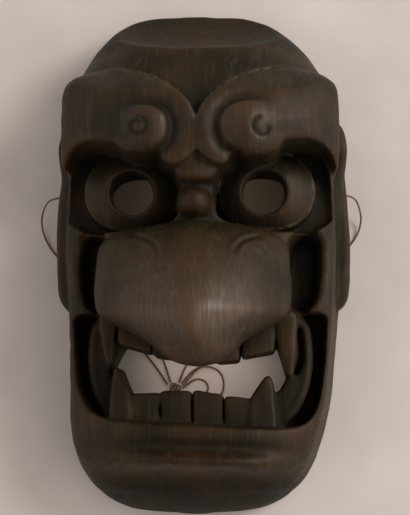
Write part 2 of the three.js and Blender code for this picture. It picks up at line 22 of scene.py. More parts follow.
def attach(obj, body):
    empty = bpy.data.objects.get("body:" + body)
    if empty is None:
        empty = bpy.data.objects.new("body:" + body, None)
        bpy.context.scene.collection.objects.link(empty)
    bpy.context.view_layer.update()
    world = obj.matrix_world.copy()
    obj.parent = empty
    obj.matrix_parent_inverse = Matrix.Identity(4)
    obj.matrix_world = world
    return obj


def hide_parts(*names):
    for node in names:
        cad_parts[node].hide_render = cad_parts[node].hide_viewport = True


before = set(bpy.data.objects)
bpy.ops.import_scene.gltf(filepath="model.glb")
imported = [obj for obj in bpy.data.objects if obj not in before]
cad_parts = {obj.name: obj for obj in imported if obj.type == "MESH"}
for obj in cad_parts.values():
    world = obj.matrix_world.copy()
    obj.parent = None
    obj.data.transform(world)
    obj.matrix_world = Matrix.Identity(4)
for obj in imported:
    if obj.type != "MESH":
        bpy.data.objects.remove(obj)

MM = 0.001
IMAGE_WIDTH = 410
IMAGE_HEIGHT = 515
FAR = 60.0  # a distance past every rounding, in millimetres
HUGE = 1e9  # a squared distance past every other
TINY = 1e-9  # keeps a division from nought
HIDDEN_ROUND = 1.0  # the rounding of an end that lies inside the wood, in millimetres

logger = logging.getLogger("mask")

Array = np.ndarray
Points = Sequence[Sequence[float]]
Span = tuple[float, float]
Place = tuple[float, float, float]
Box = tuple[Span, Span, Span]
Socket = bpy.types.NodeSocket
Value = Union[Socket, float, Sequence[float]]
WHOLE: Span = (0.0, 1.0)


class Side(Enum):
    """The two sides of the face, as the sign of x."""

    RIGHT = 1.0
    LEFT = -1.0


class Fineness(Enum):
    """The spacing of the carving's grid, in millimetres."""

    FULL = 0.7
    QUICK = 1.3


def linear(hex_colour: str) -> tuple[float, float, float, float]:
    """Turn an sRGB hex colour into linear light.

    Args:
        hex_colour: A colour such as "#33271d".

    Returns:
        Linear red, green, blue and an alpha of one.
    """
    values = [int(hex_colour[i : i + 2], 16) / 255 for i in (1, 3, 5)]
    light = [v / 12.92 if v <= 0.04045 else ((v + 0.055) / 1.055) ** 2.4 for v in values]
    return (light[0], light[1], light[2], 1.0)


def smooth_step(value: Array, low: float, high: float) -> Array:
    """Ease from nought at low to one at high."""
    share = np.clip((value - low) / (high - low), 0.0, 1.0)
    return share * share * (3.0 - 2.0 * share)


def arch(share: Array, power: float, root: float = 2.0) -> Array:
    """How far an arch has risen at a share of its half width."""
    return (1.0 - np.minimum(np.abs(share), 1.0) ** power) ** (1.0 / root)


def bell(away: Array, width: Array | float) -> Array:
    """A soft hump: one at nought, and next to nothing past twice the width."""
    return np.exp(-((away / width) ** 2))


def faded(gone: Array, first: float, last: float | None = None) -> Array:
    """Ease in over the first share of a path and, past the last, out again.

    Args:
        gone: Shares of the path's length.
        first: The share at which it is whole.
        last: The share from which it fades, or None where it doesn't.

    Returns:
        The strength at each share, from 0 to 1.
    """
    rise = smooth_step(gone, 0.0, first)
    return rise if last is None else rise * (1 - smooth_step(gone, last, 1.0))


def along(stations: Points, at: Array) -> Array:
    """Read a smooth curve through stations.

    Args:
        stations: Pairs of place and size, in any order.
        at: The places to read it at.

    Returns:
        The size at each place, held level past both ends.
    """
    line = np.array(sorted(stations), dtype=np.float64)
    place, size = line[:, 0], line[:, 1]
    last = len(line) - 1
    before = np.maximum(np.arange(last + 1) - 1, 0)
    after = np.minimum(np.arange(last + 1) + 1, last)
    slope = (size[after] - size[before]) / (place[after] - place[before])
    held = np.clip(at, place[0], place[-1])
    i = np.clip(np.searchsorted(place, held, side="right") - 1, 0, last - 1)
    span = place[i + 1] - place[i]
    t = (held - place[i]) / span
    ease = t * t * (3 - 2 * t)
    bend = span * t * (1 - t) * ((1 - t) * slope[i] - t * slope[i + 1])
    return (size[i] + (size[i + 1] - size[i]) * ease + bend).astype(np.float32)


def smooth_line(points: Points, closed: bool = False, per_span: int = 8) -> Array:
    """Run a smooth centripetal curve through points.

    Args:
        points: Points of two or three numbers.
        closed: Whether the last point joins the first.
        per_span: Steps between two points.

    Returns:
        The points of the curve, one row each.
    """
    p = np.asarray(points, dtype=np.float64)
    if closed:
        start, before, after, beyond = p, np.roll(p, 1, 0), np.roll(p, -1, 0), np.roll(p, -2, 0)
    else:
        start, after = p[:-1], p[1:]
        before = np.vstack([2 * p[0] - p[1], p[:-2]])
        beyond = np.vstack([p[2:], 2 * p[-1] - p[-2]])

    def gap(a: Array, b: Array) -> Array:
        """The square root of the distance from a to b."""
        return np.sqrt(np.maximum(np.linalg.norm(b - a, axis=1), TINY))[:, None]

    first, middle, last = gap(before, start), gap(start, after), gap(after, beyond)
    leave = ((start - before) / first - (after - before) / (first + middle)) * middle + after - start
    arrive = ((beyond - after) / last - (beyond - start) / (middle + last)) * middle + after - start
    t = np.linspace(0, 1, per_span, endpoint=False)[None, :, None]
    line = (
        (2 * t**3 - 3 * t**2 + 1) * start[:, None]
        + (t**3 - 2 * t**2 + t) * leave[:, None]
        + (3 * t**2 - 2 * t**3) * after[:, None]
        + (t**3 - t**2) * arrive[:, None]
    ).reshape(-1, p.shape[1])
    return line if closed else np.vstack([line, p[-1:]])


def outline_of(points: Points, per_span: int = 5) -> Array:
    """A smooth closed outline through points."""
    return smooth_line(points, closed=True, per_span=per_span)


def mirrored(half: Points) -> list[Sequence[float]]:
    """A whole outline from its right half, which runs from the middle line back to it."""
    return [*half, *[(-p[0], p[1]) for p in reversed(half) if p[0] > 0]]


def outline_distance(outline: Array, x: Array, y: Array) -> Array:
    """Measure the distance to a closed outline.

    Args:
        outline: The outline's points, one row each.
        x: First coordinates.
        y: Second coordinates, which broadcast against x.

    Returns:
        Distances, negative inside the outline.
    """
    shape = np.broadcast(x, y).shape
    nearest = np.full(shape, HUGE, np.float32)
    inside = np.zeros(shape, bool)
    for (ax, ay), (bx, by) in zip(outline, np.roll(outline, -1, 0)):
        ex, ey = float(bx - ax), float(by - ay)
        px, py = x - float(ax), y - float(ay)
        t = np.clip((px * ex + py * ey) / max(ex * ex + ey * ey, TINY), 0, 1)
        nearest = np.minimum(nearest, (px - t * ex) ** 2 + (py - t * ey) ** 2)
        if abs(ey) > TINY:
            inside ^= ((float(ay) > y) != (float(by) > y)) & (px < ex * py / ey)
    return np.where(inside, -1, 1).astype(np.float32) * np.sqrt(nearest)


def path_distance(path: Array, x: Array, y: Array) -> tuple[Array, Array]:
    """Measure the distance to an open path, and how far along it the nearest point lies.

    Args:
        path: The path's points, one row each.
        x: First coordinates.
        y: Second coordinates, which broadcast against x.

    Returns:
        Distances, and shares of the path's length from 0 to 1.
    """
    shape = np.broadcast(x, y).shape
    nearest = np.full(shape, HUGE, np.float32)
    share = np.zeros(shape, np.float32)
    steps = np.linalg.norm(np.diff(path, axis=0), axis=1)
    gone = 0.0
    for (ax, ay), (bx, by), step in zip(path[:-1], path[1:], steps):
        ex, ey = float(bx - ax), float(by - ay)
        px, py = x - float(ax), y - float(ay)
        t = np.clip((px * ex + py * ey) / max(float(step) ** 2, TINY), 0, 1)
        distance = (px - t * ex) ** 2 + (py - t * ey) ** 2
        closer = distance < nearest
        nearest = np.where(closer, distance, nearest)
        share = np.where(closer, (gone + t * float(step)) / float(steps.sum()), share)
        gone += float(step)
    return np.sqrt(nearest), share


def oval_share(x: Array, y: Array, centre: Sequence[float], radii: Sequence[float], power: float) -> Array:
    """How far out in an oval a point lies: 1 at its edge. It is squarer above power 2."""
    across = np.abs((x - centre[0]) / radii[0]) ** power
    return (across + np.abs((y - centre[1]) / radii[1]) ** power) ** (1.0 / power)


def soft_max(a: Array, b: Array, soft: Array | float) -> Array:
    """The larger of two distances, with the corner between them rounded over a width."""
    overlap = np.maximum(soft - np.abs(a - b), 0.0)
    return np.maximum(a, b) + overlap * overlap / (4.0 * soft)


def soft_min(a: Array, b: Array, soft: Array | float) -> Array:
    """The smaller of two distances, with the corner between them filled over a width."""
    return -soft_max(-a, -b, soft)


class Window:
    """A box of the carving's grid, with its own axes, that shapes are joined to or cut from."""

    LEAST_STEEPNESS = 1e-8  # keeps a level stretch of a function from a division by nought
    BEYOND = 3.0  # how far out a dome's plan is read, in shares of its half width

    def __init__(self, block: Block, spans: Sequence[Span]) -> None:
        """Open a window.

        Args:
            block: The grid.
            spans: The lowest and highest x, y and z of the box.
        """
        slices = []
        for axis, (low, high) in zip(block.axes, spans):
            first, last = np.searchsorted(axis, [min(low, high), max(low, high)])
            slices.append(slice(int(max(first - 1, 0)), int(last + 1)))
        self.step = block.step
        self.x = block.axes[0][slices[0]][:, None, None]
        self.y = block.axes[1][slices[1]][None, :, None]
        self.z = block.axes[2][slices[2]][None, None, :]
        self.values = block.values[tuple(slices)]

    def out(self, side: Side) -> Array:
        """Places across, counted outwards from the middle line on that side."""
        return self.x * side.value

    def distance(self, implicit: Array) -> Array:
        """Turn a function that is nought on a surface into distances from that surface.

        Args:
            implicit: The function's values, which broadcast over the window.

        Returns:
            Distances, negative where the function is.
        """
        whole = np.broadcast_to(implicit, self.values.shape)
        steep = sum(np.square(g) for g in np.gradient(whole, self.step))
        away = whole / np.sqrt(np.maximum(steep, self.LEAST_STEEPNESS))
        return np.clip(away, -FAR, FAR).astype(np.float32)

    def under(self, height: Array) -> Array:
        """Measure the distance to a surface whose height is given in plan.

        Args:
            height: The surface's height over each point of the plan.

        Returns:
            Distances, negative below the surface.
        """
        slopes = np.gradient(height[:, :, 0], self.step)
        steep = np.sqrt(1 + slopes[0] ** 2 + slopes[1] ** 2)[:, :, None]
        return ((self.z - height) / steep).astype(np.float32)

    def dome(self, share: Array, power: float, foot: Array | float, rise: Array | float) -> Array:
        """Distances to a dome that stands on its own upright wall.

        Args:
            share: How far out a point lies in plan: 1 at the dome's edge.
            power: The fullness of the dome.
            foot: The height at which it springs.
            rise: The height of its crown over that.

        Returns:
            Distances, negative inside.
        """
        up = np.maximum(self.z - foot, 0.0) / rise
        return self.distance(np.minimum(share, self.BEYOND) ** power + up * up - 1.0)

    def join(self, shape: Array, soft: Array | float) -> None:
        """Add a shape, with a fillet of that width round its foot."""
        self.values[...] = soft_min(self.values, shape, soft)

    def stand(self, shape: Array, low: float, soft: float) -> None:
        """Add a shape that ends inside the wood, at a low height, with a fillet round its foot."""
        self.join(soft_max(shape, low - self.z, HIDDEN_ROUND), soft)

    def cut(self, shape: Array, soft: Array | float) -> None:
        """Take a shape away, with its edges rounded over that width."""
        self.values[...] = soft_max(self.values, -shape, soft)

    def engrave(self, depth: Array) -> None:
        """Sink the surface by a depth."""
        self.values += depth.astype(np.float32)


class Block:
    """Distances to the surface on a regular grid, negative inside the wood."""

    LOW = (-84.0, -140.0, -4.0)
    HIGH = (84.0, 140.0, 116.0)
    BLUR_PASSES = 2
    BLUR_GAIN = 1.7  # how much further those averages in a row reach than a single one
    INNER = 1.001  # keeps the last cell that is read on the grid
    SETTLE_PASSES = 2
    LONGEST_SHIFT = 0.4  # in grid steps
    LEAST_SLOPE = 1e-6

    def __init__(self, fineness: Fineness) -> None:
        """Set up an empty grid.

        Args:
            fineness: The grid's spacing.
        """
        self.step = fineness.value
        self.axes = [np.arange(a, b, self.step, dtype=np.float32) for a, b in zip(self.LOW, self.HIGH)]
        self.values = np.full([len(axis) for axis in self.axes], FAR, np.float32)

    def window(self, *spans: Span) -> Window:
        """Open a window on the box from each span's low to its high in x, y and z."""
        return Window(self, spans)

    def beside(self, side: Side, out: Span, *spans: Span) -> Window:
        """Open a window on one side of the face, by its span outwards and those in y and z."""
        return Window(self, ((out[0] * side.value, out[1] * side.value), *spans))

    def whole(self) -> Window:
        """Open a window on the whole grid."""
        return Window(self, list(zip(self.LOW, self.HIGH)))

    def blurred(self, values: Array, radius: float) -> Array:
        """Average a field over a round neighbourhood.

        Args:
            values: The field.
            radius: The reach of the average, in millimetres.

        Returns:
            The averaged field.
        """
        reach = max(int(round(radius / self.step / self.BLUR_GAIN)), 1)
        result = values
        for _ in range(self.BLUR_PASSES):
            for axis in range(3):
                pad = [(reach + 1, reach) if i == axis else (0, 0) for i in range(3)]
                total = np.cumsum(np.pad(result, pad, mode="edge"), axis=axis, dtype=np.float32)
                ahead = np.take(total, range(2 * reach + 1, total.shape[axis]), axis=axis)
                behind = np.take(total, range(total.shape[axis] - 2 * reach - 1), axis=axis)
                result = (ahead - behind) / (2 * reach + 1)
        return result

    def sample(self, values: Array, points: Array) -> Array:
        """Read a field between grid points.

        Args:
            values: The field.
            points: Points in grid steps, one row each.

        Returns:
            The value at each point.
        """
        at = np.clip(points, 0, np.array(values.shape) - self.INNER)
        base = at.astype(np.int32)
        part = (at - base).astype(np.float32)
        result = np.zeros(len(points), np.float32)
        for corner in np.ndindex(2, 2, 2):
            weight = np.prod(np.where(corner, part, 1 - part), axis=1)
            i, j, k = (base + np.array(corner)).T
            result += weight * values[i, j, k]
        return result

    def gradient(self, points: Array, reach: float = 0.6) -> Array:
        """Find the outward direction of the grid's own field.

        Args:
            points: Points in grid steps, one row each.
            reach: How far to each side the field is read, in grid steps.

        Returns:
            The slope of the field at each point.
        """
        rows = []
        for axis in range(3):
            shift = np.zeros(3)
            shift[axis] = reach
            rows.append(self.sample(self.values, points + shift) - self.sample(self.values, points - shift))
        return np.stack(rows, axis=1) / (2 * reach)

    def surface(self) -> tuple[Array, Array]:
        """Lay a net of four-sided faces over the surface.

        Returns:
            Points in grid steps, and the four corners of each face, turned outwards.
        """
        inside = self.values < 0
        cells_shape = tuple(n - 1 for n in inside.shape)
        count = np.zeros(cells_shape, np.uint8)
        for i, j, k in np.ndindex(2, 2, 2):
            count += inside[i : i + cells_shape[0], j : j + cells_shape[1], k : k + cells_shape[2]]
        mixed = (count > 0) & (count < 8)
        cells = np.argwhere(mixed)
        number = np.full(cells_shape, -1, np.int32)
        number[mixed] = np.arange(len(cells))
        total = np.zeros((len(cells), 3))
        hits = np.zeros(len(cells))
        for corner in np.ndindex(2, 2, 2):
            for axis in range(3):
                if corner[axis]:
                    continue
                near = cells + np.array(corner)
                far = near.copy()
                far[:, axis] += 1
                a = self.values[tuple(near.T)]
                b = self.values[tuple(far.T)]
                crossing = (a < 0) != (b < 0)
                t = np.where(crossing, a / np.where(crossing, a - b, 1), 0)
                point = near.astype(np.float64)
                point[:, axis] += t
                total += point * crossing[:, None]
                hits += crossing
        points = total / hits[:, None]
        faces = []
        for axis in range(3):
            first = np.take(inside, range(inside.shape[axis] - 1), axis=axis)
            second = np.take(inside, range(1, inside.shape[axis]), axis=axis)
            edges = np.argwhere(first != second)
            u, v = np.zeros(3, int), np.zeros(3, int)
            u[(axis + 1) % 3] = 1
            v[(axis + 2) % 3] = 1
            ring = np.stack([number[tuple((edges - s).T)] for s in (0 * u, u, u + v, v)], axis=1)
            outward = first[tuple(edges.T)]
            faces.append(np.where(outward[:, None], ring, ring[:, ::-1]))
        return self.settled(points), np.concatenate(faces)

    def settled(self, points: Array) -> Array:
        """Move points on to the surface, in short steps.

        Args:
            points: Points in grid steps, one row each.

        Returns:
            The moved points.
        """
        for _ in range(self.SETTLE_PASSES):
            slope = self.gradient(points)
            size = np.maximum(np.square(slope).sum(1), self.LEAST_SLOPE)
            shift = self.sample(self.values, points)[:, None] * slope / size[:, None]
            points = points - np.clip(shift, -self.LONGEST_SHIFT, self.LONGEST_SHIFT)
        return points

    def place(self, points: Array) -> Array:
        """Points in grid steps as places in millimetres."""
        return points * self.step + np.array(self.LOW)

    def steps(self, places: Array) -> Array:
        """Places in millimetres as points in grid steps."""
        return (places - np.array(self.LOW)) / self.step


@dataclass(frozen=True)
class Blank:
    """The plain block: walls that lean in, round ends, an arched face and a dished crown."""

    half_length: float = 136.0
    draft: float = 5.0
    crown_round: tuple[float, float] = (58.0, 3.1)
    chin_round: tuple[float, float] = (-46.0, 3.35)
    end_half_width: float = 14.0
    face_arch: float = 2.5
    side_width: Points = (
        (136, 66), (110, 70.5), (90, 73), (60, 73), (5, 75), (-28, 73.4), (-60, 71.4), (-136, 70.2),
    )
    lean: Points = (
        (136, -4), (120, -2.2), (100, -0.6), (80, 0), (0, 0), (-30, 0.2), (-60, -0.7), (-75, -1.4),
        (-92, -3),
        (-105, -3.6), (-136, -3.8),
    )
    shoulder: Points = (
        (136, 5), (118, 6), (104, 13), (85, 28), (60, 40), (0, 40), (-60, 40), (-100, 34), (-125, 18),
        (-136, 7),
    )
    face_top: Points = (
        (136, 24), (122, 48), (108, 64), (85, 76), (62, 79), (40, 72), (0, 65), (-32, 60), (-60, 58),
        (-88, 60),
        (-100, 60), (-110, 58), (-121, 47), (-130, 32), (-136, 17),
    )
    cut_ridge: tuple[float, float] = (102.5, 60.0)
    cut_foot: tuple[float, float] = (136.0, 10.5)
    cut_radius: float = 95.0
    cut_reach: float = 150.0
    edge: float = 1.6
    cut_box: Box = ((-84.0, 84.0), (70.0, 140.0), (-4.0, 116.0))

    def centred(self, x: Array, y: Array) -> Array:
        """Places across the block from its own middle line, which leans a little at both ends."""
        return x - along(self.lean, y)

    def half_width(self, y: Array) -> Array:
        """Find half the block's width at the rim.

        Args:
            y: Places along the block.

        Returns:
            The half width at each place.
        """
        sides = along(self.side_width, y)
        start = np.where(y > 0, self.crown_round[0], self.chin_round[0])
        power = np.where(y > 0, self.crown_round[1], self.chin_round[1])
        share = np.clip((y - start) / (np.sign(y) * self.half_length - start), 0, 1)
        return np.maximum(sides * (1 - share**power) ** (1 / power), self.end_half_width).astype(np.float32)

    def face_height(self, x: Array, y: Array) -> Array:
        """Find the height of the plain face over points of the plan.

        Args:
            x: Places across.
            y: Places along.

        Returns:
            The height at each point.
        """
        shoulder = along(self.shoulder, y)
        rise = arch(self.centred(x, y) / (self.half_width(y) - self.draft), self.face_arch)
        return shoulder + (along(self.face_top, y) - shoulder) * rise

    def carve(self, block: Block) -> None:
        """Rough out the block and dish its crown.

        Args:
            block: The grid.
        """
        at = block.whole()
        foot, shoulder = self.half_width(at.y), along(self.shoulder, at.y)
        half = foot - self.draft * np.clip(at.z / shoulder, 0, 1)
        up = np.maximum(at.z - shoulder, 0) / (along(self.face_top, at.y) - shoulder)
        shape = at.distance(np.abs(self.centred(at.x, at.y) / half) ** self.face_arch + up * up - 1)
        shape = soft_max(shape, np.abs(at.y) - self.half_length, 2 * self.edge)
        at.values[...] = soft_max(shape, -at.z, self.edge)
        self.dish_crown(block)

    def dish_crown(self, block: Block) -> None:
        """Cut the dished facet, a long ball that touches the crown's ridge and its foot.

        Args:
            block: The grid.
        """
        ridge, foot = np.array(self.cut_ridge), np.array(self.cut_foot)
        chord = foot - ridge
        reach = math.sqrt(self.cut_radius**2 - float(chord @ chord) / 4)
        outward = np.array([-chord[1], chord[0]]) / np.linalg.norm(chord)
        centre = (ridge + foot) / 2 + outward * reach
        at = block.window(*self.cut_box)
        away = ((at.y - centre[0]) ** 2 + (at.z - centre[1]) ** 2) / self.cut_radius**2
        at.cut(at.distance((at.x / self.cut_reach) ** 2 + away - 1), self.edge)


@dataclass(frozen=True)
class Curl:
    """An open curl cut on a scroll: its middle, how far round it winds and how much it closes in."""

    centre: tuple[float, float]
    turn: float
    closing: float
    start: float = 90.0
    points: int = 28

    def path(self, radius: float) -> Array:
        """Find the curl's path in plan.

        Args:
            radius: The radius of its outer end.

        Returns:
            The path's points, from the outer end inwards.
        """
        share = np.linspace(0, 1, self.points)
        angle = np.radians(self.start + self.turn * share)
        reach = radius - self.closing * share**1.5
        return np.array(self.centre) + reach[:, None] * np.stack([np.cos(angle), np.sin(angle)], axis=1)


@dataclass(frozen=True)
class Brows:
    """The two brow lobes, each of which curls in to a scroll with an open curl on it."""

    blank: Blank
    low: float = 36.0
    proud: float = 0.6
    fade_from: float = 95.0
    fade_to: float = 72.0
    span_half: float = 75.0
    span_side: float = 46.0
    span_power: float = 3.0
    span_root: float = 2.2
    top: Points = ((96, 74), (85, 81), (72, 87), (60, 89), (48, 87), (36, 84))
    outline: Points = (
        (0.4, 44), (6, 38.5), (11.5, 36.2), (17, 38.8), (21.5, 42), (27, 44), (33.5, 45), (41, 47.5),
        (49, 49),
        (56, 49.5), (61.5, 48), (66, 44.5), (70, 38), (71.4, 46), (71.6, 62), (71.5, 73), (70.4, 80),
        (67.2, 86.5),
        (61, 92), (50, 92.5), (37, 88), (26, 84.3), (17, 79.4), (8.6, 73), (3.2, 66.8), (0.5, 60),
        (0.2, 50),
    )
    lower_round: float = 1.8
    outer_round: float = 8.0
    outer_reach: float = 7.0
    foot_fillet: float = 1.4
    scroll_centre: tuple[float, float] = (27.0, 54.4)
    scroll_radii: tuple[float, float] = (16.6, 13.8)
    scroll_power: float = 2.3
    left_scale: float = 0.88
    scroll_foot: float = -2.2
    scroll_lift: float = 6.0
    scroll_merge: float = 0.55
    groove_turn: tuple[float, float] = (258.0, 52.0)
    groove_depth: float = 2.7
    groove_outside: float = 3.8
    groove_inside: float = 0.9
    curl_right: Curl = Curl((32.4, 53.6), 265.0, 1.3)
    curl_left: Curl = Curl((28.4, 54.2), 400.0, 2.6)
    left_tuck: float = 1.6
    upper_line: Points = ((46, 92.6), (37, 88.8), (26, 85.1), (16.6, 80.1), (8.1, 73.6), (3.2, 67.8))
    upper_line_depth: float = 0.9
    upper_line_width: float = 0.7
    edge_points: int = 32
    curl_radius: float = 4.7
    curl_depth: float = 1.8
    curl_width: float = 0.65
    box: Box = ((-6.0, 84.0), (30.0, 104.0), (34.0, 112.0))
    front: Span = (52.0, 62.0)
    outer_across: Span = (42.0, 64.0)
    tuck_across: Span = (50.0, 70.0)
    corner_across: Span = (38.0, 58.0)
    corner_up: Span = (82.0, 90.0)
    scroll_inset: float = 2.0
    scroll_fullness: float = 2.6
    scroll_fillet: float = 1.0
    groove_fade: tuple[float, ...] = (0.1, 0.7)
    upper_line_fade: tuple[float, ...] = (0.25, 0.9)
    curl_fade: tuple[float, ...] = (0.1,)
    # the width of the painted shade along each curl's cut
    curl_shade_width: float = 0.75
    # the pale upper line over the brows: rubbed wear and a painted highlight
    pale_line_width: float = 0.85
    pale_line_fade: tuple[float, ...] = (0.2, 0.7)

    def growth(self, x: Array, y: Array) -> Array:
        """How far the brow has grown out of the forehead, from 0 to 1."""
        start = self.fade_from + self.outer_reach * smooth_step(x, *self.outer_across)
        return smooth_step(start - y, 0, self.fade_from - self.fade_to)

    def crown(self, x: Array, y: Array) -> Array:
        """Find the height of the brow's crown over points of the plan.

        Args:
            x: Places outwards from the middle line.
            y: Places along.

        Returns:
            The height at each point.
        """
        rise = arch(x / self.span_half, self.span_power, self.span_root)
        full = self.span_side + (along(self.top, y) - self.span_side) * rise
        face = self.blank.face_height(x, y)
        return face + (full - face) * self.growth(x, y) + self.proud

    def carve(self, block: Block) -> None:
        """Carve the lobe, its scroll and its grooves on both sides.

        Args:
            block: The grid.
        """
        outline = outline_of(self.outline)
        for side in Side:
            at = block.beside(side, *self.box)
            x = at.out(side)
            crown = self.crown(x, at.y)
            tuck = self.left_tuck * smooth_step(x, *self.tuck_across) if side is Side.LEFT else 0.0
            edge = outline_distance(outline, x + tuck, at.y)
            outer = smooth_step(x, *self.corner_across) * smooth_step(at.y, *self.corner_up)
            soft = self.lower_round + (self.outer_round - self.lower_round) * outer
            at.stand(soft_max(at.under(crown), edge, soft), self.low, self.foot_fillet)
            share = self.scroll_share(x, at.y, side)
            self.add_scroll(at, x, crown, share)
            self.cut_grooves(at, x, share, side)

    def scroll_scale(self, side: Side) -> float:
        """The scroll's size on that side: the left one is wound a little tighter."""
        return 1.0 if side is Side.RIGHT else self.left_scale

    def scroll_share(self, x: Array, y: Array, side: Side) -> Array:
        """How far out in the scroll a point of the plan lies: 1 at its edge."""
        radii = np.array(self.scroll_radii) * self.scroll_scale(side)
        return oval_share(x, y, self.scroll_centre, radii, self.scroll_power)

    def add_scroll(self, at: Window, x: Array, crown: Array, share: Array) -> None:
        """Raise the scroll: a low dome that stands clear at the groove and sinks outwards.

        Args:
            at: The window on the brow.
            x: Places outwards from the middle line.
            crown: The height of the brow's crown.
            share: How far out in the scroll the places lie.
        """
        middle, radius = self.scroll_centre[0], self.scroll_radii[0]
        outward = smooth_step(x, middle - self.scroll_inset, middle + radius)
        rise = self.scroll_lift * (1 - self.scroll_merge * outward)
        dome = at.dome(share, self.scroll_fullness, crown + self.scroll_foot, rise)
        at.stand(dome, self.low, self.scroll_fillet)

    def cut_grooves(self, at: Window, x: Array, share: Array, side: Side) -> None:
        """Sink the roll beside the scroll's edge, the line over the brow and the curl on the scroll.

        Args:
            at: The window on the brow.
            x: Places outwards from the middle line.
            share: How far out in the scroll the places lie.
            side: The side of the face.
        """
        front = smooth_step(at.z, *self.front)
        roll = np.where(share < 1, self.groove_inside, self.groove_outside)
        line = smooth_line(self.upper_line)
        for path, depth, width, fade in (
            (self.scroll_edge(side), self.groove_depth, roll, self.groove_fade),
            (line, self.upper_line_depth, self.upper_line_width, self.upper_line_fade),
            (self.curl(side), self.curl_depth, self.curl_width, self.curl_fade),
        ):
            away, gone = path_distance(path, x, at.y)
            at.engrave(depth * bell(away, width) * faded(gone, *fade) * front)

    def scroll_edge(self, side: Side) -> Array:
        """Find the edge of the scroll in plan, from under the brow round to its outer end.

        Args:
            side: The side of the face.

        Returns:
            The edge's points, one row each.
        """
        angle = np.radians(np.linspace(*self.groove_turn, self.edge_points))
        reach = np.stack([np.cos(angle), np.sin(angle)], axis=1)
        squared = (np.abs(reach) ** self.scroll_power).sum(1) ** (-1 / self.scroll_power)
        radii = np.array(self.scroll_radii) * self.scroll_scale(side)
        return np.array(self.scroll_centre) + radii * reach * squared[:, None]

    def marks(self, x: Array, y: Array) -> tuple[Array, Array]:
        """Find the curls' cuts, painted in shade, and the brows' pale upper line, rubbed wear and painted
        highlight.

        Args:
            x: Places across.
            y: Places along.

        Returns:
            How much each place lies in a curl's cut, and how much on the line, from 0 to 1.
        """
        curls = np.zeros(len(x), np.float32)
        for side in Side:
            away, _ = path_distance(self.curl(side), x * side.value, y)
            # painted shade along the curl's cut
            curls = np.maximum(curls, bell(away, self.curl_shade_width))
        # the upper line is painted pale, as rubbed wear and a painted highlight
        away, gone = path_distance(smooth_line(self.upper_line), np.abs(x), y)
        return curls, bell(away, self.pale_line_width) * faded(gone, *self.pale_line_fade)

    def curl(self, side: Side) -> Array:
        """The open curl's path in plan. The left one turns in a little further."""
        curl = self.curl_right if side is Side.RIGHT else self.curl_left
        return curl.path(self.curl_radius)


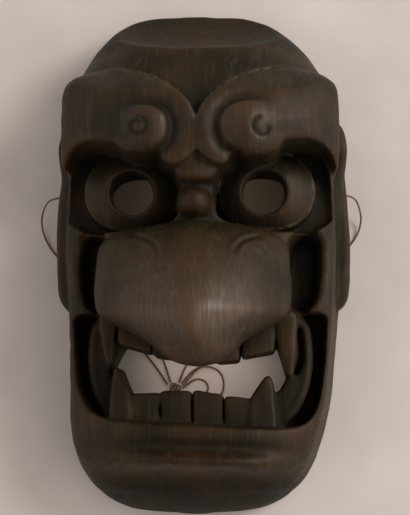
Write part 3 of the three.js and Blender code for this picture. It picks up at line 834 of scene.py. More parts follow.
@dataclass(frozen=True)
class Eyes:
    """The sockets, the domed eyeballs, their pierced pupils and the pockets behind them."""

    centre: tuple[float, float] = (34.5, 29.0)
    radii: tuple[float, float] = (24.9, 20.8)
    power: float = 2.3
    low: float = 30.0
    edge: float = 50.0
    top: float = 62.0
    bead: float = 0.55
    rim_share: float = 0.975
    pupil: tuple[float, float] = (33.0, 27.0)
    left_shift: float = 1.2
    front_radius: float = 11.5
    rear_radius: float = 10.3
    front_height: float = 60.0
    rear_height: float = 50.0
    room_centre: tuple[float, float] = (33.0, 28.0)
    room_radii: tuple[float, float] = (15.0, 11.5)
    room_low: float = 15.0
    socket_floor: float = 39.0
    socket_box: Box = ((4.0, 76.0), (0.0, 60.0), (30.0, 104.0))
    socket_lean: float = 0.03
    socket_round: float = 5.0
    socket_arris: float = 2.0
    ball_box: Box = ((4.0, 64.0), (4.0, 56.0), (28.0, 70.0))
    ball_reach: float = 1.2
    ball_round: float = 0.7
    ball_fillet: float = 1.0
    bead_inset: float = 0.7
    bead_lift: float = 0.5
    bead_fillet: float = 0.5
    room_box: Box = ((14.0, 54.0), (10.0, 48.0), (10.0, 72.0))
    room_power: float = 2.2
    room_round: float = 6.0
    room_arris: float = 1.2
    hole_arris: float = 0.45
    rim_width: float = 0.016
    rim_height: float = 4.0
    # the right rim is painted paler than the left, a painted highlight where the light falls
    rim_wear_and_highlight: tuple[float, float] = (0.4, 0.9)
    socket: Points = (
        (10, 15), (20, 10), (34, 7), (50, 7.5), (61, 9.5), (67.5, 15), (67.5, 28), (66, 38), (62, 46),
        (50, 51),
        (36, 53), (22, 50), (12, 42), (9, 30),
    )

    def share(self, x: Array, y: Array) -> Array:
        """How far out on an eyeball a point of the plan lies: 1 at its edge."""
        return oval_share(x, y, self.centre, self.radii, self.power)

    def cut_sockets(self, block: Block) -> None:
        """Sink the sockets into the plain face.

        Args:
            block: The grid.
        """
        outline = outline_of(self.socket)
        for side in Side:
            at = block.beside(side, *self.socket_box)
            edge = outline_distance(outline, at.out(side), at.y)
            edge = edge - self.socket_lean * (at.z - self.socket_floor)
            at.cut(soft_max(edge, self.socket_floor - at.z, self.socket_round), self.socket_arris)

    def add_eyeballs(self, block: Block) -> None:
        """Raise the eyeballs, each with a worn bead along its edge.

        Args:
            block: The grid.
        """
        for side in Side:
            at = block.beside(side, *self.ball_box)
            share = self.share(at.out(side), at.y)
            rim = at.distance(share - 1.0)
            bowl = self.edge + (self.top - self.edge) * (1 - np.minimum(share, self.ball_reach) ** 2)
            at.stand(soft_max(rim, at.under(bowl), self.ball_round), self.low, self.ball_fillet)
            up = at.z - self.edge - self.bead_lift
            at.join(np.sqrt((rim + self.bead_inset) ** 2 + up**2) - self.bead, self.bead_fillet)

    def pierce(self, block: Block) -> None:
        """Pierce the pupils and open the pockets behind them.

        Args:
            block: The grid.
        """
        slope = (self.front_radius - self.rear_radius) / (self.front_height - self.rear_height)
        for side in Side:
            at = block.beside(side, *self.room_box)
            x = at.out(side) - (self.left_shift if side is Side.LEFT else 0.0)
            radius = self.rear_radius + slope * (at.z - self.rear_height)
            at.cut(np.hypot(x - self.pupil[0], at.y - self.pupil[1]) - radius, self.hole_arris)
            share = oval_share(at.out(side), at.y, self.room_centre, self.room_radii, self.room_power)
            room = soft_max(at.distance(share - 1), at.z - self.rear_height, self.room_round)
            at.cut(soft_max(room, self.room_low - at.z, HIDDEN_ROUND), self.room_arris)

    def rim_marks(self, x: Array, y: Array, z: Array) -> Array:
        """Find the pale eyeball rims: rubbed wear and a painted highlight, stronger on the lit right side.

        Args:
            x: Places across.
            y: Places along.
            z: Heights.

        Returns:
            How much each place lies on a rim, from 0 to 1.
        """
        rim = bell(self.share(np.abs(x), y) - self.rim_share, self.rim_width)
        left, right = self.rim_wear_and_highlight
        return rim * (np.abs(z - self.edge) < self.rim_height) * np.where(x > 0, right, left)


@dataclass(frozen=True)
class Nose:
    """The broad drooping nose, the crease over each wing and the two knobs of its bridge."""

    top: Points = (
        (10.5, 74), (4, 84), (-12, 98), (-28, 108.5), (-38, 111.6), (-46, 110.6), (-54, 106), (-60, 99),
        (-64, 90.5),
    )
    half: Points = (
        (10.5, 13), (8.5, 28), (5, 41), (-1, 47.4), (-12, 48.8), (-28, 49), (-36, 46.5), (-40.5, 39.5),
        (-44, 33), (-50, 24), (-57, 16.5), (-61.5, 10), (-64, 4),
    )
    lean: Points = ((10.5, -1.6), (0, -2.6), (-28, -2.6), (-40, -2), (-50, -0.6), (-57, 0.8), (-64, 1.2))
    low: Points = ((10.5, 44), (-30, 42), (-37, 47), (-50, 66), (-60, 82), (-64, 88))
    wing_rise: float = 0.36
    wing_power: float = 1.62
    wing_root: Points = ((10, 1.6), (-12, 1.45), (-30, 1.32), (-46, 1.4), (-60, 1.8))
    crease: Points = ((18, -9.5), (19.3, -6), (21.8, -2.2), (26.3, 0.5), (33.4, 2.9))
    crease_depth: float = 1.3
    crease_width: float = 0.9
    knob: tuple[float, float] = (-1.7, 19.8)
    knob_radii: tuple[float, float] = (8.4, 7.6)
    knob_top: float = 80.2
    plate: Points = (
        (-1, 46), (-5, 41), (-10.5, 36), (-10, 32), (-7, 29.8), (0, 29), (6.5, 29.8), (9.2, 32), (10, 35.5),
        (4.5, 41),
    )
    plate_top: tuple[float, float] = (82.6, 80.0)
    knob_low: float = 50.0
    knob_height: float = 12.0
    knob_power: float = 2.3
    knob_fullness: float = 2.2
    knob_fillet: float = 4.2
    plate_along: Span = (29.0, 44.0)
    plate_middle: float = -1.0
    plate_fall: float = 0.02  # how fast it falls away to both sides, per millimetre squared
    plate_round: float = 4.6
    plate_fillet: float = 3.6
    bridge_box: Box = ((-22.0, 22.0), (4.0, 52.0), (44.0, 92.0))
    box: Box = ((-60.0, 58.0), (-72.0, 20.0), (34.0, 116.0))
    arris: float = 4.0
    fillet: float = 2.2
    crease_fade: Span = (0.2, 0.75)
    crease_front: Span = (60.0, 70.0)
    crease_lip: float = 0.6
    crease_lip_away: float = 1.9

    def carve(self, block: Block) -> None:
        """Carve the bridge and the nose.

        Args:
            block: The grid.
        """
        self.carve_bridge(block)
        at = block.window(*self.box)
        x = at.x - along(self.lean, at.y)
        top, low, half = along(self.top, at.y), along(self.low, at.y), along(self.half, at.y)
        foot = low + self.wing_rise * (top - low)
        up = np.maximum(at.z - foot, 0) / (top - foot)
        shape = at.distance(np.abs(x / half) ** self.wing_power + up ** along(self.wing_root, at.y) - 1)
        ends = soft_max(at.y - self.top[0][0], self.top[-1][0] - at.y, HIDDEN_ROUND)
        under = (low - at.z) / np.sqrt(1 + np.gradient(low[0, :, 0], at.step) ** 2)[None, :, None]
        shape = soft_max(soft_max(shape, ends, self.arris), under.astype(np.float32), self.arris)
        at.join(shape, self.fillet)
        self.cut_creases(at)

    def cut_creases(self, at: Window) -> None:
        """Cut the crease over each wing, between its two low lips.

        Args:
            at: The window on the nose.
        """
        away, share = path_distance(smooth_line(self.crease), np.abs(at.x), at.y)
        front = smooth_step(at.z, *self.crease_front)
        groove = bell(away, self.crease_width)
        lips = self.crease_lip * bell(away - self.crease_lip_away, self.crease_width)
        at.engrave(self.crease_depth * (groove - lips) * faded(share, *self.crease_fade) * front)

    def carve_bridge(self, block: Block) -> None:
        """Raise the bridge: a pointed plate between the brows and a round knob under it.

        Args:
            block: The grid.
        """
        at = block.window(*self.bridge_box)
        (lower, upper), (start, end) = self.plate_top, self.plate_along
        slope = lower + (upper - lower) * (at.y - start) / (end - start)
        slope = slope - self.plate_fall * (at.x - self.plate_middle) ** 2
        edge = outline_distance(outline_of(self.plate), at.x, at.y)
        at.stand(soft_max(edge, at.under(slope), self.plate_round), self.knob_low, self.plate_fillet)
        share = oval_share(at.x, at.y, self.knob, self.knob_radii, self.knob_power)
        knob = at.dome(share, self.knob_fullness, self.knob_top - self.knob_height, self.knob_height)
        at.stand(knob, self.knob_low, self.knob_fillet)


@dataclass(frozen=True)
class Cheeks:
    """The deep hollow between each wing of the nose and the side of the face."""

    floor: float = 34.0
    edge: float = 14.0
    outline: Points = (
        (46, -32), (53, -34), (58.5, -30), (61.5, -19), (62.3, -6), (61, 3.5), (56, 7), (50, 6), (45, 0),
        (43, -16),
    )
    box: Box = ((34.0, 70.0), (-42.0, 16.0), (24.0, 80.0))
    dish_width: float = 5.0
    wall_lean: float = 0.04
    wall_height: float = 48.0
    floor_round: float = 3.0
    arris: float = 2.0
    outer_arris: float = 3.5
    outer_across: Span = (54.0, 60.0)

    def carve(self, block: Block) -> None:
        """Cut the dished hollows.

        Args:
            block: The grid.
        """
        outline = outline_of(self.outline)
        for side in Side:
            at = block.beside(side, *self.box)
            edge = outline_distance(outline, at.out(side), at.y)
            floor = self.floor + self.edge * (1 - np.clip(-edge / self.dish_width, 0, 1)) ** 2
            wall = edge - self.wall_lean * (at.z - self.wall_height)
            arris = self.arris + self.outer_arris * smooth_step(at.out(side), *self.outer_across)
            at.cut(soft_max(wall, -at.under(floor), self.floor_round), arris)


@dataclass(frozen=True)
class Mouth:
    """The framed mouth: its pocket, the gums, the slot through them, the teeth and the fangs."""

    floor: float = 27.0
    pocket: Points = (
        (0, -90.2), (30, -90), (46, -88.6), (54, -85), (59.5, -76), (62.5, -60), (63.6, -42), (63.8, -36.8),
        (61.5, -35), (50, -34.5), (0, -34),
    )
    pocket_tilt: float = 0.05
    gum_low: float = 22.0
    gum_top: float = 44.0
    gums: Points = (
        (0, -96), (36, -94), (47, -87), (54, -76), (57.5, -62), (57.6, -48), (55, -38), (45, -30), (0, -30),
    )
    gum_pit: Points = ((50.6, -42), (51.4, -50), (51, -58), (48.6, -64))
    slot: Points = (
        (0, -78), (30, -78), (38, -75), (43, -68), (45.5, -62), (42, -53), (34, -46), (0, -43),
    )
    lower_teeth: Points = (
        (-35.2, -20.6, -74.2, -74.0), (-19.2, -4.5, -73.2, -73.0), (-2.9, 11.5, -72.6, -74.6),
        (12.9, 25.0, -75.6, -77.0),
    )
    lower_root: float = -97.0
    upper_teeth: Points = (
        (-41.5, -25.0, -49.2, -54.3), (-23.6, -8.4, -55.5, -57.5), (-7.0, 6.8, -58.5, -58.8),
        (8.2, 20.2, -59.2, -58.2), (21.7, 38.0, -56.6, -53.4),
    )
    upper_root: float = -32.0
    tooth_low: float = 25.0
    tooth_front: float = 51.0
    tooth_edge: float = 0.9
    fang_round: float = 2.6
    fangs: tuple[tuple[float, Points], ...] = (
        (53.0, (
            (25.6, -97), (37.8, -97), (38.0, -77), (37.2, -69), (35.4, -65.4), (33.4, -65.8), (29.5, -71),
            (26, -77),
        )),
        (53.0, (
            (-44, -95), (-34.4, -95), (-34.6, -76), (-37.6, -68), (-40.8, -61.2), (-42.8, -61.6),
            (-44, -68),
        )),
        (52.0, (
            (38.8, -34), (39.3, -46), (41.6, -58), (44.4, -66), (46.4, -66.2), (48.2, -60), (48.8, -48),
            (48.8, -34),
        )),
        (52.0, (
            (-43, -34), (-43, -44), (-44, -54), (-45.4, -60.8), (-46.8, -60), (-49.8, -48), (-51, -34),
        )),
    )
    fang_fillet: float = 0.4
    tooth_bulge: float = 1.6
    tooth_fillet: float = 0.3
    tooth_room: float = 3.0
    tooth_heights: Span = (20.0, 58.0)
    pocket_box: Box = ((-76.0, 76.0), (-106.0, -22.0), (16.0, 100.0))
    pocket_tilt_down: Span = (55.0, 85.0)
    pocket_lean: float = 0.04
    pocket_round: float = 4.0
    pocket_arris: float = 1.6
    gum_box: Box = ((-70.0, 70.0), (-104.0, -22.0), (-4.0, 60.0))
    gum_round: float = 3.6
    gum_fillet: float = 1.6
    gum_waves: Points = ((0.5, 3.2, 1.0), (-0.35, 5.4, 1.2))  # height, place in from the edge, width
    pit_radius: float = 1.3
    pit_rise: float = 10.0
    pit_round: float = 3.0
    pit_arris: float = 1.6
    slot_arris: float = 1.4

    def cut_pocket(self, block: Block) -> None:
        """Cut the framed pocket of the mouth, with a leaning wall and a round floor.

        Args:
            block: The grid.
        """
        at = block.window(*self.pocket_box)
        y = at.y + self.pocket_tilt * at.x * smooth_step(-at.y, *self.pocket_tilt_down)
        edge = outline_distance(outline_of(mirrored(self.pocket)), at.x, y)
        edge = edge - self.pocket_lean * (at.z - self.floor)
        at.cut(soft_max(edge, self.floor - at.z, self.pocket_round), self.pocket_arris)

    def add_gums(self, block: Block) -> None:
        """Raise the gums in the pocket, with a low wave along their edge, and cut the pit and the slot.

        Args:
            block: The grid.
        """
        at = block.window(*self.gum_box)
        edge = outline_distance(outline_of(mirrored(self.gums)), at.x, at.y)
        ridge = sum(height * bell(edge + inwards, width) for height, inwards, width in self.gum_waves)
        gum = soft_max(edge, at.z - self.gum_top - ridge, self.gum_round)
        at.stand(gum, self.gum_low, self.gum_fillet)
        away, _ = path_distance(smooth_line(self.gum_pit), at.x, at.y)
        pit = soft_max(away - self.pit_radius, self.floor + self.pit_rise - at.z, self.pit_round)
        at.cut(pit, self.pit_arris)
        at.cut(outline_distance(outline_of(mirrored(self.slot)), at.x, at.y), self.slot_arris)

    def add_teeth(self, block: Block) -> None:
        """Add both rows of teeth and the four fangs.

        Args:
            block: The grid.
        """
        for root, row in ((self.lower_root, self.lower_teeth), (self.upper_root, self.upper_teeth)):
            for start, end, start_edge, end_edge in row:
                self.add_tooth(block, (start, end), root, (start_edge, end_edge))
        for front, outline in self.fangs:
            self.add_fang(block, outline, front)

    def tooth_window(self, block: Block, x: Span, y: Span) -> Window:
        """Open a window on one tooth.

        Args:
            block: The grid.
            x: The tooth's span across.
            y: Its span along.

        Returns:
            The window, with a little room round the tooth.
        """
        room = self.tooth_room
        return block.window((x[0] - room, x[1] + room), (y[0] - room, y[1] + room), self.tooth_heights)

    def add_tooth(self, block: Block, sides: Span, root: float, edges: Span) -> None:
        """Add one flat-fronted tooth.

        Args:
            block: The grid.
            sides: The x of its left and right sides.
            root: The y of its root.
            edges: The y of its biting edge at each side.
        """
        (left, right), (left_edge, right_edge) = sides, edges
        at = self.tooth_window(block, sides, (min(root, *edges), max(root, *edges)))
        share = (at.x - left) / (right - left)
        bite = left_edge + (right_edge - left_edge) * share
        down = np.abs(at.y - (root + bite) / 2) - np.abs(root - bite) / 2
        across = np.abs(at.x - (left + right) / 2) - (right - left) / 2
        crown = self.tooth_front + self.tooth_bulge / 4 - self.tooth_bulge * (share - 0.5) ** 2
        shape = soft_max(soft_max(across, down, self.tooth_edge), at.z - crown, self.tooth_edge)
        at.stand(shape, self.tooth_low, self.tooth_fillet)

    def add_fang(self, block: Block, points: Points, front: float) -> None:
        """Add one fang over an outline, with its front rounded over.

        Args:
            block: The grid.
            points: The outline's points in plan.
            front: The height of its front.
        """
        outline = outline_of(points, per_span=6)
        (x0, y0), (x1, y1) = outline.min(0), outline.max(0)
        at = self.tooth_window(block, (x0, x1), (y0, y1))
        shape = soft_max(outline_distance(outline, at.x, at.y), at.z - front, self.fang_round)
        at.stand(shape, self.tooth_low, self.fang_fillet)


@dataclass(frozen=True)
class Swelling:
    """A long soft swelling across the chin or, where its lift is negative, a long soft hollow."""

    x: float
    y: float
    half_width: float
    half_height: float
    lift: float


@dataclass(frozen=True)
class Chin:
    """The lip under the teeth, the ridge below it and the hollow under that ridge."""

    lip: Swelling = Swelling(-2.0, -94.5, 50.0, 5.5, 2.2)
    groove: Swelling = Swelling(-1.0, -101.6, 42.0, 3.2, -1.8)
    ridge: Swelling = Swelling(-1.5, -108.2, 39.0, 5.2, 6.0)
    hollow: Swelling = Swelling(-6.0, -119.6, 38.0, 6.8, -6.5)
    tilt: float = 0.035
    box: Box = ((-66.0, 66.0), (-134.0, -84.0), (30.0, 76.0))
    front: Span = (38.0, 50.0)
    end_power: int = 4
    side_power: float = 2.4
    ridge_mark_low: float = 30.0

    def carve(self, block: Block) -> None:
        """Raise the lip and the ridge, and sink the groove between them and the hollow below.

        Args:
            block: The grid.
        """
        at = block.window(*self.box)
        front = smooth_step(at.z, *self.front)
        for form in (self.lip, self.groove, self.ridge, self.hollow):
            across = np.exp(-(np.abs((at.x - form.x) / form.half_width) ** self.end_power))
            away = np.abs((at.y + self.tilt * at.x - form.y) / form.half_height)
            at.engrave(-form.lift * across * np.exp(-(away**self.side_power)) * front)

    def ridge_marks(self, x: Array, y: Array, z: Array) -> Array:
        """Find the top of the ridge, painted lighter as rubbed wear and a painted highlight.

        Args:
            x: Places across.
            y: Places along.
            z: Heights.

        Returns:
            How much each place lies on it, from 0 to 1.
        """
        across = ((x - self.ridge.x) / self.ridge.half_width) ** self.end_power
        down = ((y - self.ridge.y) / self.ridge.half_height) ** 2
        # the ridge's top is painted lighter: rubbed wear and a painted highlight
        return np.exp(-across - down) * (z > self.ridge_mark_low)


@dataclass(frozen=True)
class Ears:
    """A C-shaped ear in relief on each side wall."""

    root: float = 66.0
    outline: Points = (
        (-29.5, 13), (-24, 5), (-8, 3.8), (20, 5.5), (45, 6), (62, 10), (71, 20), (68, 31), (56, 36),
        (44, 31),
        (36, 30), (22, 33), (8, 30), (-8, 25), (-24, 22),
    )
    inner: Points = (
        (-8, 12), (10, 10.5), (40, 11.5), (56, 17), (59, 24), (52, 28), (40, 22.5), (24, 26), (10, 22),
        (-6, 18),
    )
    fold: Points = ((2, 16), (16, 15.5), (34, 16.5), (48, 21))
    face: Points = (
        (71, 75), (58, 77.7), (48, 77.5), (42, 76.8), (33, 77.6), (5, 79), (-15, 79), (-23, 78),
        (-29, 75.5),
    )
    depth: float = 4.5
    left_sink: float = 1.7
    right_sink: float = 0.5
    box: Box = ((62.0, 84.0), (-34.0, 78.0), (0.0, 42.0))
    shell_round: float = 4.0
    fillet: float = 2.0
    dish_width: float = 3.6
    dish_arris: float = 1.6
    fold_height: float = 2.2
    fold_width: float = 1.7

    def carve(self, block: Block) -> None:
        """Raise the ear, sink its inside and leave a fold standing in it.

        Args:
            block: The grid.
        """
        outline, inner = outline_of(self.outline), outline_of(self.inner)
        for side in Side:
            at = block.beside(side, *self.box)
            out = at.out(side)
            face = along(self.face, at.y) - (self.left_sink if side is Side.LEFT else self.right_sink)
            edge = outline_distance(outline, at.y, at.z)
            shell = soft_max(edge, out - face, self.shell_round)
            at.join(soft_max(shell, self.root - out, HIDDEN_ROUND), self.fillet)
            inside = outline_distance(inner, at.y, at.z)
            deep = self.depth * (1 - (1 - np.clip(-inside / self.dish_width, 0, 1)) ** 2)
            away, _ = path_distance(smooth_line(self.fold), at.y, at.z)
            deep = deep - self.fold_height * bell(away, self.fold_width)
            at.cut(soft_max(inside, face - deep - out, HIDDEN_ROUND), self.dish_arris)


@dataclass(frozen=True)
class Back:
    """The hollow for the wearer's face, with the pocket behind the nose and the cord's holes."""

    blank: Blank
    wall: float = 11.0
    top: Points = (
        (124, 12), (112, 32), (95, 54), (76, 63), (64, 58), (54, 38), (46, 29), (0, 28), (-25, 24),
        (-45, 17),
        (-82, 17), (-96, 34), (-108, 40), (-119, 27), (-126, 12),
    )
    low: float = -5.0
    lean: float = 2.0
    shoulder: float = 0.45
    power: float = 3.0
    room: tuple[float, float, float] = (-12.0, 26.0, 25.0)
    room_foot: float = 20.0
    room_depth: float = 48.0
    gouge_width: float = 9.0
    gouge_length: float = 26.0
    gouge_depth: float = 0.55
    arch_y: float = 6.0
    arch_rise: float = 3.4
    arch_half: float = 40.0
    hole_y: float = 32.0
    hole_z: float = 19.0
    hole_radius: float = 1.7
    end_round: float = 4.0
    arris: float = 1.8
    room_box: Box = ((-34.0, 34.0), (-44.0, 20.0), (8.0, 76.0))
    room_low: float = 10.0
    room_power: float = 2.2
    room_arris: float = 3.0
    row_wander: Points = ((1.5, 31.0, 0.0), (1.1, 13.0, 1.0))  # sway, length and start of each wave
    cut_shift: tuple[float, float, float] = (0.37, 0.1, 9.0)  # from row to row, waver, waver's length
    cut_ridge: float = 0.3
    rim_box: Box = ((-84.0, 84.0), (-40.0, 52.0), (-4.0, 6.0))
    rim_arris: float = 1.2
    hole_box: Box = ((50.0, 84.0), (26.0, 38.0), (12.0, 26.0))
    hole_arris: float = 0.9

    def carve(self, block: Block) -> None:
        """Hollow the block from behind, arch its rim and bore the cord's holes.

        Args:
            block: The grid.
        """
        at = block.whole()
        ratio = self.blank.half_length / (self.blank.half_length - self.wall)
        foot = self.blank.half_width(at.y * ratio) - self.wall
        top = along(self.top, at.y)
        shoulder = top * self.shoulder
        half = foot - self.lean * np.clip((at.z - self.low) / (shoulder - self.low), 0, 1)
        up = np.maximum(at.z - shoulder, 0) / (top - shoulder)
        shape = at.distance(np.abs(self.blank.centred(at.x, at.y) / half) ** self.power + up * up - 1)
        ends = np.maximum(at.y - self.top[0][0], self.top[-1][0] - at.y)
        at.cut(soft_max(shape, ends, self.end_round) + self.gouges(at), self.arris)
        self.cut_room(block)
        self.cut_rim(block)

    def cut_room(self, block: Block) -> None:
        """Cut the pocket behind the nose.

        Args:
            block: The grid.
        """
        at = block.window(*self.room_box)
        y, rx, ry = self.room
        share = oval_share(at.x, at.y, (0, y), (rx, ry), self.room_power)
        room = at.dome(share, self.room_power, self.room_foot, self.room_depth) + self.gouges(at)
        at.cut(soft_max(room, self.room_low - at.z, HIDDEN_ROUND), self.room_arris)

    def gouges(self, at: Window) -> Array:
        """Lay the scalloped marks of a wide gouge, in rows that wander a little.

        Args:
            at: The window that is cut.

        Returns:
            What each mark leaves standing, which is nought along its middle.
        """
        (down_sway, down_length, down_start), (sway, length, start) = self.row_wander
        wander = down_sway * np.sin(at.y / down_length + down_start) + sway * np.sin(at.x / length + start)
        row = (at.x + wander) / self.gouge_width
        step, waver, waver_length = self.cut_shift
        phase = at.y / self.gouge_length + step * np.floor(row) + waver * np.sin(at.x / waver_length)
        across = np.abs(np.sin(np.pi * row))
        down = (1 - self.cut_ridge) + self.cut_ridge * np.abs(np.sin(np.pi * phase))
        return (self.gouge_depth * (1 - across * down)).astype(np.float32)

    def cut_rim(self, block: Block) -> None:
        """Arch the rim off the table along both sides, and bore the hole in each side wall.

        Args:
            block: The grid.
        """
        at = block.window(*self.rim_box)
        radius = (self.arch_half**2 + self.arch_rise**2) / (2 * self.arch_rise)
        at.cut(np.hypot(at.y - self.arch_y, at.z - self.arch_rise + radius) - radius, self.rim_arris)
        for side in Side:
            near = block.beside(side, *self.hole_box)
            hole = np.hypot(near.y - self.hole_y, near.z - self.hole_z) - self.hole_radius
            near.cut(hole, self.hole_arris)


@dataclass(frozen=True)
class HandWork:
    """What the carver's hand and long wear left on the face: slight waves and small dents."""

    seed: int = 7
    wave_height: float = 0.16
    waves: int = 9
    shortest: float = 9.0
    longest: float = 34.0
    dents: int = 90
    dent_depth: float = 0.35
    dent_strength: Span = (0.4, 1.0)
    dent_size: Span = (0.8, 2.2)
    dent_stretch: float = 1.6
    dent_room: float = 3.0
    across: float = 72.0
    down: float = 130.0
    heights: Span = (36.0, 114.0)
    phase: float = 6.0

    def carve(self, block: Block) -> None:
        """Lay the waves over the whole surface and press the dents into it.

        Args:
            block: The grid.
        """
        draw = np.random.default_rng(self.seed)
        at = block.whole()
        for _ in range(self.waves):
            way = draw.normal(size=3)
            way *= 2 * np.pi / draw.uniform(self.shortest, self.longest) / np.linalg.norm(way)
            across, down, up = (
                np.sin(pace * place + draw.uniform(0, self.phase))
                for pace, place in zip(way, (at.x, at.y, at.z))
            )
            at.engrave(self.wave_height / 2 * (across * down) * up)
        for _ in range(self.dents):
            x, y = draw.uniform(-self.across, self.across), draw.uniform(-self.down, self.down)
            size = draw.uniform(*self.dent_size)
            room = self.dent_room * size
            near = block.window((x - room, x + room), (y - room, y + room), self.heights)
            reach = ((near.x - x) ** 2 + ((near.y - y) / self.dent_stretch) ** 2) / size**2
            near.engrave(self.dent_depth * draw.uniform(*self.dent_strength) * np.exp(-reach))


def add_node(
    tree: bpy.types.NodeTree, kind: str, settings: dict[str, Any] | None = None,
    inputs: dict[str | int, Any] | None = None,
) -> bpy.types.Node:
    """Add a node with its settings and links.

    Args:
        tree: The node tree.
        kind: The node's type.
        settings: Its properties by name.
        inputs: Values or sockets for its inputs, by name or number.

    Returns:
        The node.
    """
    node = tree.nodes.new(kind)
    for name, value in (settings or {}).items():
        setattr(node, name, value)
    for key, value in (inputs or {}).items():
        if isinstance(value, Socket):
            tree.links.new(value, node.inputs[key])
        else:
            node.inputs[key].default_value = value
    return node


def new_material(name: str) -> tuple[bpy.types.Material, bpy.types.NodeTree, Socket]:
    """Start a material.

    Args:
        name: The material's name.

    Returns:
        The empty material, its node tree and the place on the object as a socket.
    """
    material = bpy.data.materials.new(name)
    material.use_nodes = True
    tree = material.node_tree
    tree.nodes.clear()
    return material, tree, add_node(tree, "ShaderNodeTexCoord").outputs["Object"]


def finished(material: bpy.types.Material, inputs: dict[str | int, Any]) -> bpy.types.Material:
    """Give a material its surface.

    Args:
        material: The material.
        inputs: Values or sockets for the shader's inputs.

    Returns:
        The same material.
    """
    shader = add_node(material.node_tree, "ShaderNodeBsdfPrincipled", None, inputs)
    add_node(material.node_tree, "ShaderNodeOutputMaterial", None, {"Surface": shader.outputs[0]})
    return material


def mixed(tree: bpy.types.NodeTree, share: Value, first: Value, second: Value) -> Socket:
    """A colour between two, by a share from 0 to 1."""
    return add_node(tree, "ShaderNodeMix", {"data_type": "RGBA"}, {0: share, 6: first, 7: second}).outputs[2]


def spread(tree: bpy.types.NodeTree, value: Value, within: Span, onto: Span = WHOLE) -> Socket:
    """A value remapped from one range on to another, and held inside it."""
    inputs = dict(enumerate((value, *within, *onto)))
    return add_node(tree, "ShaderNodeMapRange", {"clamp": True}, inputs).outputs[0]


def worked(tree: bpy.types.NodeTree, operation: str, *values: Value) -> Socket:
    """The result of one sum on values or sockets."""
    return add_node(tree, "ShaderNodeMath", {"operation": operation}, dict(enumerate(values))).outputs[0]


def product(tree: bpy.types.NodeTree, first: Value, second: Value) -> Socket:
    """The product of two values or sockets."""
    return worked(tree, "MULTIPLY", first, second)


def noise(tree: bpy.types.NodeTree, place: Value, size: float, detail: float, rough: float = 0.5) -> Socket:
    """The strength of a noise whose patches have a real size."""
    inputs = {"Vector": place, "Scale": 1 / size, "Detail": detail, "Roughness": rough}
    return add_node(tree, "ShaderNodeTexNoise", None, inputs).outputs[0]


def raised(tree: bpy.types.NodeTree, height: Value, strength: float, lift: float, **under: Value) -> Socket:
    """The normal of a surface that a height raises by a lift, over another normal if one is given."""
    inputs = {"Height": height, "Strength": strength, "Distance": lift, **under}
    return add_node(tree, "ShaderNodeBump", None, inputs).outputs[0]


